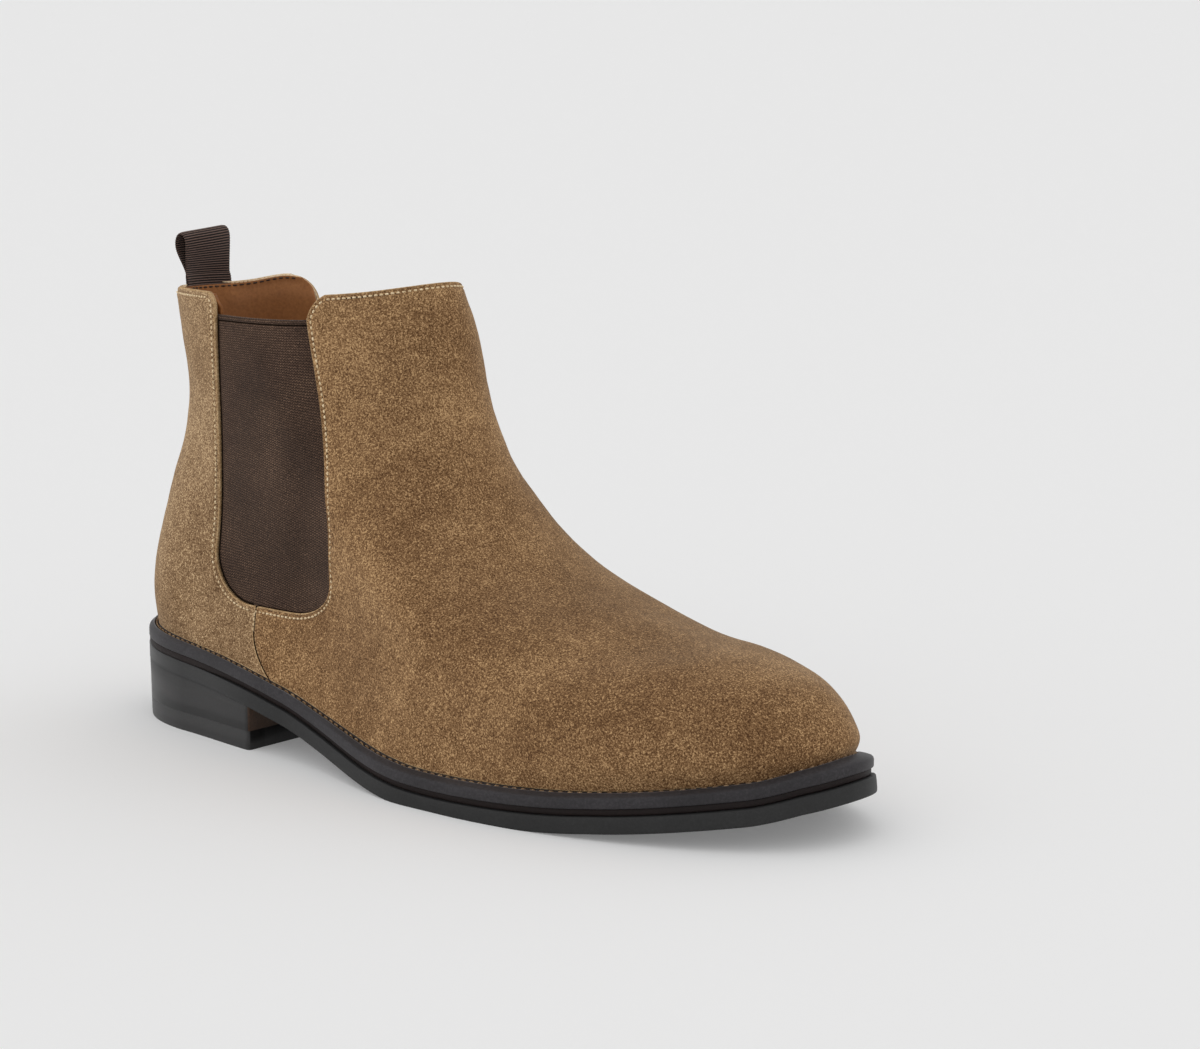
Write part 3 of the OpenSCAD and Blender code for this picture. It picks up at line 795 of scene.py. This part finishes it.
def along(t, a0, a1, step=0.8):
    """A path along one ring, from one angle to another."""
    return spaced(np.full(300, t), np.linspace(a0, a1, 300), step)


def sewn_parts(path):
    """Splits an edge into its seam part and its stitched part above the gore's lower edge."""
    k = int(np.argmax(on(*path)[:, 2] > GORE_LOW_Z - 0.28))
    return (path[0][:k + 1], path[1][:k + 1]), (path[0][k:], path[1][k:])


def front_outline(edges, top_t, low_step, top_step):
    """Sides of a panel between the two front edges, from the feather line on."""
    (out_seam, out_up), (in_seam, in_up) = (sewn_parts(edges[side]) for side in (OUTER, INNER))
    return [along(0.0, in_seam[1][0], out_seam[1][0], low_step), out_seam, out_up,
            along(top_t, out_up[1][-1], in_up[1][-1], top_step), flipped(in_up), flipped(in_seam)]


# ---- upper: suede ----------------------------------------------------------------------------
def stitched_relief(s):
    """The stitch row pulls the suede in, and its edge stands a little proud."""
    return (0.34 * np.exp(-((s - STITCH_IN) / 0.45) ** 2) + 0.3 * np.maximum(0, 1 - s / 1.2) ** 2
            - 0.12 * np.exp(-((s - 3.2) / 1.0) ** 2))


def seam_distance(p):
    """Distance in front of the side seam, for the part below the gore."""
    return p[:, 0] - seam_x(np.minimum(p[:, 2], GORE_LOW_Z))


def vamp_depth(t, a, p, s, e):
    """The vamp swells a little beside the side seam and dips into it."""
    gap = seam_distance(p)
    lower = sm((GORE_LOW_Z + 2 - p[:, 2]) / 4)
    swell = (0.35 * (1 - sm(gap / 9)) - 0.5 * (1 - sm(gap / 1.6))) * lower
    return stitched_relief(s) - swell, np.full(len(t), SUEDE_T)


def from_back(a):
    """Angle from the back of the boot, 0 to 180."""
    return np.abs((a + 180) % 360 - 180)


def quarter_depth(t, a, p, s, e):
    """The quarter dips a little beside the side seam, and its top edge rolls in near the back."""
    lower = sm((GORE_LOW_Z + 2 - p[:, 2]) / 4) * (p[:, 0] > -95)
    near = (1 - sm(-seam_distance(p) / 5)) * lower
    high = sm((t - 0.96) / 0.02) * (1 - sm((from_back(a) - 25) / 25))
    roll = 1.0 * np.maximum(0, 1 - e / 2.8) ** 2 * high
    return stitched_relief(s) + 0.15 * near + roll, SUEDE_T + roll


def make_vamp():
    """The front panel, over the toe and round both sides to the seams."""
    edges = {side: wrapped(edge_path(front_edge(side, SEAM_GAP), side)) for side, _ in SIDES}
    vamp = panel("vamp_suede", front_outline(edges, 1.0, 1.0, 0.8), [False, False, True, True, True, False],
                 vamp_depth, [SUEDE, CUT, EDGE_PAINTED_LIGHTER, SHADE], 0.45, seed=3)
    settle(vamp, "vamp", "vamp")


def make_quarter(side, word):
    """The rear panel of one side, from the side seam to the back seam and up to its tab."""
    seam, sewn = sewn_parts(edge_path(rear_edge(side), side))
    back = 0.15 * side
    spine = spaced(np.linspace(1, 0, 200), np.full(200, back), 1.0)
    paths = [along(0.0, back, seam[1][0], 1.0), seam, sewn, along(1.0, sewn[1][-1], back), spine]
    piece = panel(f"quarter_{word}_suede", paths, [False, False, True, True, False], quarter_depth,
                  [SUEDE_PAINTED_LIGHTER, CUT, EDGE_PAINTED_LIGHTER, SHADE], seed=11 + side)
    settle(piece, f"quarter_{word}", f"quarter_{word}", f"back_tab_{word}", body="shaft")


# ---- upper: linings --------------------------------------------------------------------------
def lining_depth(t, a, p, s, e):
    """The lining comes up against the suede at the top line, but leaves room for the tape at the back."""
    tape = sm((1 - from_back(a) / 22) * 4)
    close = sm((t - 0.95) / 0.03) * (1 - tape)
    outer = LINING_D - 1.45 * close + 0.12 * tape
    return outer + 0.15 * np.exp(-((s - 1.9) / 0.5) ** 2), outer + LINING_T


def lining_path(xz, side):
    """An edge of the lining, which ends a little below the top line."""
    t, a = edge_path(xz, side)
    keep = t < LINING_TOP
    return np.append(t[keep], LINING_TOP), np.append(a[keep], a[keep][-1])


def make_linings():
    """The lining of the front panel, and that of both quarters in one piece."""
    edges = {side: wrapped(lining_path(front_edge(side), side)) for side, _ in SIDES}
    vamp = panel("vamp_lining_leather", front_outline(edges, LINING_TOP, 1.2, 1.0),
                 [False, False, False, True, False, False], lining_depth, [LINING, LINING], 0.2, 2.6, 21)
    settle(vamp, "vamp_lining", "vamp_lining")
    outer, inner = (lining_path(rear_edge(side, -0.4), side) for side in (OUTER, INNER))
    paths = [along(0.0, outer[1][0], inner[1][0], 1.2), inner,
             along(LINING_TOP, inner[1][-1], outer[1][-1], 1.0), flipped(outer)]
    back = panel("quarter_lining_leather", paths, [False, False, True, False], lining_depth, [LINING, LINING],
                 0.2, 2.6, 25)
    settle(back, "quarter_lining", "quarter_lining", "back_tab_lining", body="shaft")


# ---- upper: elastic gores --------------------------------------------------------------------
def gore_front_x(z):
    """Front edge of the elastic, under the suede, with a rounded corner at its foot."""
    return np.where(z < 62, FRONT_X + GORE_LAP - 26 * (1 - fold((62 - z) / 22, 2)),
                    front_upright(np.minimum(z, 143)) + GORE_LAP)


def gore_rear_x(z, side):
    """Rear edge of the elastic, likewise."""
    return np.where(z < 66, REAR_X - GORE_LAP + 26.8 * (1 - fold((66 - z) / 26, 2)),
                    rear_upright(np.minimum(z, 140), side) - GORE_LAP)


def cloth_piece(name, face, under, u, v, materials, turned=False, dark=None):
    """A strip of cloth from the grids of its two faces; u and v are its cloth coordinates across and along, and
    dark says which rows of the face take the second material."""
    m, n = face.shape[:2]
    faces = slab_faces(m, n)
    slots = np.zeros(len(faces), int)
    if dark is not None:
        slots[:(m - 1) * (n - 1)] = np.repeat(dark, n - 1)
    uv = np.stack([u, np.repeat(v[:, None], n, 1)], -1).reshape(-1, 2)
    return mesh_piece(name, np.concatenate([face.reshape(-1, 3), under.reshape(-1, 3)]),
                      faces[:, ::-1] if turned else faces, materials, slots, np.concatenate([uv, uv]))


def make_gore(side, word):
    """One elastic panel with a folded hem along its top edge."""
    m, n, hem_rows = 150, 70, 16
    hem = 1.7 / 115                         # height of the hem, as a part of t
    t = np.concatenate([np.linspace(0.185, GORE_TOP - 2 * hem, m - hem_rows),
                        np.linspace(GORE_TOP - 2 * hem, GORE_TOP, hem_rows + 1)[1:]])
    a0, a1 = cross(t, side, lambda z: gore_rear_x(z, side)), cross(t, side, gore_front_x)
    width = np.linspace(0, 1, n)
    a = a0[:, None] + (a1 - a0)[:, None] * width
    tt = np.repeat(t[:, None], n, 1)
    p = on(tt, side * a)
    u = np.array([path_length(row) - np.interp(-70, row[:, 0], path_length(row)) for row in p])
    v = path_length(p[:, n // 2])
    below = (GORE_TOP - tt) / hem
    crease = 0.35 * np.exp(-((below - 1) / 0.16) ** 2) - 0.15 * (below < 1) * sm(below * 3)
    bulge = -0.15 * np.sin(np.pi * np.clip((tt - 0.2) / 0.7, 0, 1)) * np.sin(np.pi * width)
    round_top = 0.45 * np.clip(1 - below / 0.35, 0, 1) ** 2
    face = inset(tt, side * a, GORE_D - 0.1 + crease + bulge + round_top)
    under = inset(tt, side * a, GORE_D + GORE_T + bulge - round_top * 0.6)
    # The rows in the hem's crease take the painted shade
    in_crease = np.abs((t[:-1] + t[1:]) / 2 - (GORE_TOP - hem)) < 0.13 * hem
    piece = cloth_piece(f"gore_{word}_elastic", face, under, u, v, [GORE, SHADE], side == OUTER, in_crease)
    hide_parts(f"gore_{word}")
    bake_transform(piece)


# ---- upper: tapes ----------------------------------------------------------------------------
RIB = 0.86


def make_back_strip():
    """The narrow tape over the back seam."""
    m, n, half = 360, 13, 4.2
    t = np.linspace(0.012, 0.95, m)
    tt, aa = np.meshgrid(t, np.linspace(-half, half, n), indexing="ij")
    v = path_length(on(t, np.zeros(m)))
    rib = 0.05 * np.cos(2 * math.pi * v / RIB)[:, None]
    edge = 1 - np.abs(np.linspace(-1, 1, n)) ** 6
    piece = cloth_piece("back_seam_tape", inset(tt, aa, -(0.12 + (0.55 + rib) * edge)), inset(tt, aa, 0.35),
                        aa * 0.8, v / RIB, [TAPE])
    settle(piece, "back_strip", "back_strip", "tab_strip", body="shaft")


def smooth_path(x, y, rounds=12):
    """Evens out a path between its ends."""
    for _ in range(rounds):
        for v in (x, y):
            v[1:-1] = (v[:-2] + 2 * v[1:-1] + v[2:]) / 4
    return x, y


def make_pull_loop():
    """A folded tape: both ends go down between suede and lining, and the loop stands above the top line."""
    half, gap = LOOP_HALF - TAPE_T / 2, TAPE_T / 2 + 0.02
    foot, leg_n = 147.0, 60
    q = np.radians(np.linspace(14, 346, 600))
    x = -half * np.sin(q) * (1 - np.cos(q)) / 1.3
    z = FOLD[2] + 1.2 + (LOOP_H - 1.2 - TAPE_T / 2) * (1 - np.cos(q)) / 2
    legs = np.linspace(foot, z[0] - 0.3, leg_n)
    x = np.concatenate([np.full(leg_n, -gap), x, np.full(leg_n, gap)])
    z = np.concatenate([legs, z, legs[::-1]])
    s = path_length(np.stack([x, z], 1))
    count, n = int(s[-1] / RIB * 8), 25
    q = np.linspace(0, s[-1], count)
    x, z = smooth_path(np.interp(q, s, x), np.interp(q, s, z), 30)
    dx, dz = np.gradient(x), np.gradient(z)
    nx, nz = -dz / np.hypot(dx, dz), dx / np.hypot(dx, dz)
    across = np.linspace(-1, 1, n)
    across = np.sign(across) * (1 - (1 - np.abs(across)) ** 1.4)
    beat = np.cos(2 * math.pi * q / RIB)
    bevel = np.sqrt(np.maximum(0.03, 1 - np.abs(across) ** 14))
    y = across * (TAPE_W / 2) * (1 + 0.006 * beat)[:, None]
    # Low down the tape hugs the rounded back of the shaft; higher up it twists a little
    hug = on(np.full(200, 1.0), np.linspace(-40, 40, 200))[100:]
    bow = np.interp(np.abs(y), hug[:, 1] - line(hug[:, 0]), hug[:, 0] - hug[0, 0])
    bow = bow * (1 - sm((z - 150.5) / 15))[:, None]
    high = sm((z - 154) / 14)[:, None]
    wave = 0.3 * np.sin(across * 2.1 + 0.5) * high
    tilt = 1.1 * across * high
    sheets = []
    for sign in (1, -1):
        h = sign * (TAPE_T / 2 + 0.15 * beat - 0.05)[:, None] * bevel
        sheets.append(np.stack([FOLD[0] + x[:, None] + nx[:, None] * h + bow + wave, FOLD[1] + y,
                                z[:, None] + nz[:, None] * h + tilt], -1))
    piece = cloth_piece("pull_loop_tape", *sheets, y, q / RIB, [TAPE])
    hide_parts("pull_loop")
    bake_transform(piece)


# ---- upper: stitching ------------------------------------------------------------------------
def inner_path(t, a, s):
    """A path s inside an open edge that runs upwards; the panel lies on the side given by the sign of s."""
    return moved(t, a, unit(np.cross(slopes(t, a)[2], unit(np.gradient(on(t, a), axis=0)))), s)


def gore_edge(xz, side, skip):
    """An edge beside one gore, from its lower corner up, without the first points of the lower edge."""
    k = int(np.argmax(xz[:, 1] >= GORE_LOW_Z)) + skip
    t, a = place(xz[k:, 0], xz[k:, 1], side)
    return spaced(t, side * a, 0.5)


def shadow_gap(name, path, toward, width):
    """A dark strip, the painted shadow in the gap between the cut edge of the suede and the elastic under it.
    """
    keep = path[0] < GORE_TOP - 0.004
    t, a = path[0][keep], path[1][keep]
    rails = [inset(*inner_path(t, a, s * toward), depth)
             for s, depth in ((-0.45, 1.54), (0.6 * width, 1.5), (width, 1.85), (-0.45, 1.95))]
    n = len(t)
    faces = grid_faces(n, 4, close=True)
    faces = faces if toward > 0 else faces[:, ::-1]
    caps = [[0, 1, 2, 3], [4 * n - 1, 4 * n - 2, 4 * n - 3, 4 * n - 4]]
    return mesh_piece(name, np.stack(rails, 1).reshape(-1, 3), faces.tolist() + caps, [SHADE])


def thread_row(name, t, a, depth=0.2):
    """Cream stitches along a path on the surface."""
    t, a = spaced(t, a, 0.4)
    return stitch_row(name, inset(t, a, depth), slopes(t, a)[2], EDGE_STITCH, [THREAD, HOLE])


def make_stitches():
    """Edge stitches round the gores, along the top lines, on the side seams, and inside on the lining."""
    for side, word in SIDES:
        edges = (("front", gore_edge(front_edge(side), side, 0), -side, 0.5, "vamp", "root"),
                 ("rear", gore_edge(rear_edge(side), side, 7), side, 0.8, f"quarter_{word}", "shaft"))
        # Strips of painted shadow along the gaps beside each gore
        for where, path, toward, width, _, body in edges:
            settle(shadow_gap(f"gap_{where}_{word}", path, toward, width), f"gore_{word}", body=body)
        for where, path, toward, _, slot, body in edges:
            t, a = inner_path(*path, -STITCH_IN * toward)
            keep = t < 0.985
            settle(thread_row(f"stitches_{where}_{word}", *smooth_path(t[keep], a[keep])), slot, body=body)
        z = np.linspace(45.6, 39.0, 30)
        t, a = place(seam_x(z) + 0.1, z, side)
        settle(thread_row(f"stitches_seam_{word}", t, side * a, 0.1), f"quarter_{word}")
    high = np.array([0.984])
    (a_out, b_out), (a_in, b_in) = ([cross(high, side, lambda z: end_x(z, top))[0]
                                     for top in (FRONT_TOP, REAR_TOP[side])] for side in (OUTER, INNER))
    for name, t, lo, hi, slot, body in (
            ("front", 1 - STITCH_IN / 150, a_in + 4.2, 360 - a_out - 4.2, "vamp", "root"),
            ("rear", 1 - STITCH_IN / 118, -b_out + 3.5, b_in - 3.5, "back_tab_outer", "back_tab")):
        row = thread_row(f"stitches_top_{name}", np.full(300, t), np.linspace(lo, hi, 300))
        settle(row, slot, body=body)
    for name, lo, hi, slot, body in (("front", a_in, 360 - a_out, "vamp_lining", "root"),
                                     ("rear", -b_out, b_in, "back_tab_lining", "back_tab")):
        t, a = np.full(300, LINING_ROW_T), np.linspace(lo + 5, hi - 5, 300)
        p = inset(t, a, lining_depth(t, a, None, np.full(300, 1.9), None)[1] + 0.02)
        row = stitch_row(f"stitches_lining_{name}", p, -slopes(t, a)[2], LINING_STITCH, [DARK_THREAD, HOLE])
        settle(row, slot, body=body)


# ---- sole unit -------------------------------------------------------------------------------
RING_N = 720


def rim_points():
    """Outline of the sole unit in equal steps, and its outward normals."""
    a = np.radians(np.arange(RING_N) * 360 / RING_N)
    out = np.sin(a) < 0
    x = -SOLE_END * np.cos(a)
    w = width_at(np.where(out[:, None], np.array(RIM_O), np.array(RIM_I)), x)
    w = (w * fold(1 - (x + SOLE_END) / RIM_ROUND_B, HEEL_POW)
         * fold(1 - (SOLE_END - x) / RIM_ROUND_F, np.where(out, TOE_POW_O, TOE_POW_I)))
    p = np.stack([x, line(x) + np.where(out, OUTER, INNER) * w], 1)
    p = np.concatenate([p, p[:1]])
    s = path_length(p)
    p = sample(np.linspace(0, s[-1], RING_N + 1)[:-1], s, p)
    tau = unit(np.roll(p, -2, axis=0) - np.roll(p, 2, axis=0))
    return p, np.stack([-tau[:, 1], tau[:, 0]], 1)


def feather_margin():
    """Distance from each rim point in to the foot of the upper."""
    foot = on(np.zeros(1440), np.arange(1440) / 4)[:, :2]
    return np.array([np.linalg.norm(foot - p, axis=1).min() for p in RIM])


RIM, RIM_OUT = rim_points()
MARGIN = feather_margin()
TOE = sm((RIM[:, 0] - 90) / 50)             # 0 behind the ball, 1 round the toe


def rim_ring(m, dz):
    """A ring m inside the rim, dz above the welt's top face; the welt is level across round the toe."""
    m = np.broadcast_to(m, RING_N)
    xy = RIM - RIM_OUT * m[:, None]
    level_x = np.where(m < MARGIN + 0.5, xy[:, 0] + (RIM[:, 0] - xy[:, 0]) * TOE, xy[:, 0])
    return np.concatenate([xy, (sole_z(level_x) + dz)[:, None]], 1)


def ring_piece(name, rings, materials, slots=None):
    """A mesh from closed rings, each joined to the next. With a slot for each ring, the last is joined to the
    first; without them, the first and the last are capped."""
    k, around = len(rings), np.arange(RING_N)
    if slots:
        faces = (grid_faces(k + 1, RING_N, close=True) % (k * RING_N)).tolist()
        marks = np.repeat(slots, RING_N)
    else:
        faces = grid_faces(k, RING_N, close=True).tolist()
        for start, way in ((0, -1), ((k - 1) * RING_N, 1)):
            for i in range(RING_N // 2):
                strip = dict.fromkeys((start + around[[i, i + 1, -i - 1, -i]]).tolist())
                faces.append(list(strip)[::way])
        marks = None
    return mesh_piece(name, np.concatenate(rings), faces, materials, marks)


def make_welt():
    """The welt: a groove beside the upper, a raised lip, and an edge that slopes outwards."""
    lip = MARGIN - 1.6
    side = 0.5 * TOE
    # Slots: 0 the welt, 1 the groove in painted shade, 2 the lip's crest with its painted highlight
    profile = [(MARGIN + 2.6, -WELT_T, 0), (MARGIN + 2.6, 0.0, 0), (MARGIN - 0.05, 0.0, 1),
               (MARGIN - 0.25, -0.5, 1), (MARGIN - 0.45, -0.7, 1), (lip + 0.4, -0.7, 1), (lip + 0.15, -0.35, 2),
               (lip, -0.02, 2), (lip - 0.15, 0.05, 2), (lip - 0.4, 0.0, 0), (0.6 * lip, -0.3, 0),
               (0.3 * lip + side, -0.62, 0), (0.14 * lip + side, -0.86, 0), (0.04 * lip + side, -1.3, 0),
               (side, -1.9, 0), (side, -2.8, 0), (side, -WELT_T + 0.3, 0), (side + 0.08, -WELT_T + 0.12, 0),
               (side + 0.3, -WELT_T, 0), (side + 0.7, -WELT_T, 0)]
    rings = [rim_ring(m, z) for m, z, _ in profile]
    slots = [slot for _, _, slot in profile]
    settle(ring_piece("welt_strip", rings, [WELT, GROOVE, WELT_CREST], slots), "welt", "welt")
    path = rim_ring(MARGIN - 0.78, -0.3)
    path = np.concatenate([path, path[:1]])
    up = np.repeat([[0, 0, 1.0]], len(path), 0)
    row = stitch_row("welt_stitches", path, up, WELT_STITCH, [WELT_THREAD, HOLE], 0.2, holes=False)
    settle(row, "welt")


def behind_heel(x):
    """1 round the heel, 0 in front of it."""
    return 1 - sm((x + 104) / 34)


def make_midsole():
    """The recessed layer; its channel fades out round the heel."""
    depth = 1.25 - 1.05 * behind_heel(RIM[:, 0])
    bevel = ((0.7, 0.05), (0.1, -0.1), (0, -0.4))
    rings = [rim_ring(depth + m, dz - WELT_T) for m, dz in bevel]
    rings += [rim_ring(depth + m, -WELT_T - MID_T - dz) for m, dz in bevel[::-1]]
    settle(ring_piece("midsole_layer", rings, [MIDSOLE]), "midsole", "midsole")


def make_outsole():
    """The rubber sole; at the toe it stands out a little further than the welt."""
    top, low = -WELT_T - MID_T, -SOLE_T
    out = -0.6 * TOE
    soft = 0.4 * (1 - behind_heel(RIM[:, 0] - 24))
    profile = [(1.2, top), (0.35, top - 0.02), (0.12, top - 0.12), (0.3 * out, top - 0.4),
               (0.7 * out, top - 2.0), (out, low + 1.2)]
    profile += [(out + soft * (1 - math.cos(angle)), low + soft * (1 - math.sin(angle)))
                for angle in (np.arange(1, 5) * math.pi / 8).tolist()]
    profile += [(soft + 2.5, low)]
    settle(ring_piece("outsole_layer", [rim_ring(m, z) for m, z in profile], [OUTSOLE]), "outsole", "outsole")


def heel_outline():
    """Outline of the heel, just inside the rim, with slightly rounded breast corners."""
    gap, corner, count = 0.02, 1.2, 24
    x = BREAST_X - gap
    xy = RIM - RIM_OUT * gap
    back = xy[xy[:, 0] < x - corner]
    inner, outer = back[back[:, 1] > LINE_Y], back[back[:, 1] <= LINE_Y]
    inner, outer = inner[np.argsort(-inner[:, 0])], outer[np.argsort(outer[:, 0])]
    a = np.radians(np.arange(15, 90, 15))
    low = np.stack([x - corner + corner * np.sin(a), outer[-1, 1] + corner * (1 - np.cos(a))], 1)
    high = np.stack([x - corner + corner * np.cos(a), inner[0, 1] - corner * (1 - np.sin(a))], 1)
    across = np.linspace(0, 1, count)
    hollow = 0.8 * np.sin(np.pi * across)
    breast = np.stack([x - hollow, low[-1, 1] + (high[0, 1] - low[-1, 1]) * across], 1)
    return np.concatenate([inner, outer, low, breast[1:-1], high])


def heel_layer(name, levels, materials, node):
    """A prism of the heel between levels given as (inset, height), with a material of its own on the breast."""
    xy = heel_outline()
    to_rim = xy - [-105, LINE_Y]
    to_rim /= np.maximum(1, np.linalg.norm(to_rim, axis=1))[:, None]
    rings = []
    for m, z in levels:
        ring = xy - to_rim * m
        height = z(ring[:, 0]) if callable(z) else np.full(len(ring), z)
        rings.append(np.concatenate([ring, height[:, None]], 1))
    k, count = len(rings), len(xy)
    faces = grid_faces(k, count, close=True).tolist()
    faces += [list(range(count))[::-1], list(range((k - 1) * count, k * count))]
    breast = rings[0][:, 0] > BREAST_X - 1.0
    slots = np.append(np.tile(breast & np.roll(breast, -1), k - 1), [0, 0]).astype(int)
    settle(mesh_piece(name, np.concatenate(rings), faces, materials, slots, flat=2), node, node)


def make_heel():
    block = [(0.25, LIFT_TOP), (0.18, LIFT_TOP + 8), (0.05, lambda x: sole_z(x) - SOLE_T + 0.05)]
    heel_layer("heel_stack_block", block, [HEEL, BREAST], "heel_block")
    lift = [(1.0, GROUND), (0.65, GROUND + 0.1), (0.4, GROUND + 0.5), (0.3, GROUND + 3), (0.25, LIFT_TOP)]
    heel_layer("heel_top_lift", lift, [HEEL, LIFT], "top_lift")


# ---- carried over from the frame ---------------------------------------------------------------
def paint_inner_parts():
    """Parts inside the boot keep the frame's own shapes and get their finishes."""
    finishes = {"insole_board": BOARD, "sock_liner": SOCK, "heel_pad": SOCK, "cork_filler": CORK,
                "shank": STEEL, "heel_nails": BRASS, "heel_counter": BOARD, "toe_puff": BOARD,
                "loop_ends": TAPE}
    for node, finish in finishes.items():
        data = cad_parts[node].data
        data.materials.clear()
        data.materials.append(finish)


make_vamp()
for boot_side, side_word in SIDES:
    make_quarter(boot_side, side_word)
make_linings()
for boot_side, side_word in SIDES:
    make_gore(boot_side, side_word)
make_back_strip()
make_pull_loop()
make_stitches()
make_welt()
make_midsole()
make_outsole()
make_heel()
paint_inner_parts()


# ---- stage and light ---------------------------------------------------------------------------
WORLD_LIGHT, FLOOR_GLOW = 0.80, 0.155


def make_stage():
    """A pale floor that rises behind into a wall, slightly self-lit so that shadows stay soft."""
    f = Finish("stage_paper", 0.95, Specular_IOR_Level=0.0)
    rise = f.math("MULTIPLY", f.axis(2), 1 / 1.5, clamp=True)
    f.put(f.shader.inputs["Base Color"], f.mix(rise, (0.812, 0.812, 0.812, 1), (0.795, 0.795, 0.795, 1)))
    f.shader.inputs["Emission Color"].default_value = (1, 1, 1, 1)
    f.shader.inputs["Emission Strength"].default_value = FLOOR_GLOW
    radius, near, far, high, half = 1500.0, -5000.0, 2600.0, 5000.0, 6000.0
    angle = np.linspace(0, math.pi / 2, 24)
    rising = np.stack([far + radius * np.sin(angle), radius * (1 - np.cos(angle))], 1)
    profile = np.concatenate([[[near, 0.0]], rising, [[far + radius, high]]])
    away = np.array([towards.x, towards.y]) / math.hypot(towards.x, towards.y)
    side = np.array([-away[1], away[0]])
    points = [[*(away * run + side * sign * half), z] for sign in (-1, 1) for run, z in profile]
    n = len(profile)
    faces = [[i, i + 1, n + i + 1, n + i] for i in range(n - 1)]
    mesh_piece("floor", points, faces, [f.material])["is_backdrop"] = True


def area_light(name, where, aim, size, power):
    data = bpy.data.lights.new(name, "AREA")
    data.shape = "RECTANGLE"
    data.size, data.size_y = size
    data.energy = power
    light = bpy.data.objects.new(name, data)
    light.location = where
    light.rotation_euler = (Vector(aim) - Vector(where)).to_track_quat("-Z", "Y").to_euler()
    bpy.context.collection.objects.link(light)
    return light


def make_light():
    """Even light all round, with a broad key from the left front and a fill, which leave the floor alone."""
    world = bpy.data.worlds.new("studio")
    world.use_nodes = True
    world.node_tree.nodes["Background"].inputs["Color"].default_value = (1, 1, 1, 1)
    world.node_tree.nodes["Background"].inputs["Strength"].default_value = WORLD_LIGHT
    bpy.context.scene.world = world
    lit = bpy.data.collections.new("lit_by_softboxes")
    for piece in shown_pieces():
        lit.objects.link(piece)
    for light in (area_light("key", (-1.5, -1.1, 0.75), (-0.05, 0, 0.06), (1.3, 1.1), 18),
                  area_light("front", (1.2, -1.4, 0.45), (0.05, 0, 0.03), (1.2, 0.7), 3.5),
                  area_light("rim", (1.2, 1.1, 0.9), (0.04, 0, 0.05), (1.2, 0.8), 8),
                  area_light("top", (-0.2, 0.0, 1.9), (-0.05, 0, 0.05), (1.2, 1.0), 1.5)):
        light.light_linking.receiver_collection = lit
        light.visible_glossy = False


make_stage()
make_light()
bpy.context.scene.view_settings.view_transform = "Standard"
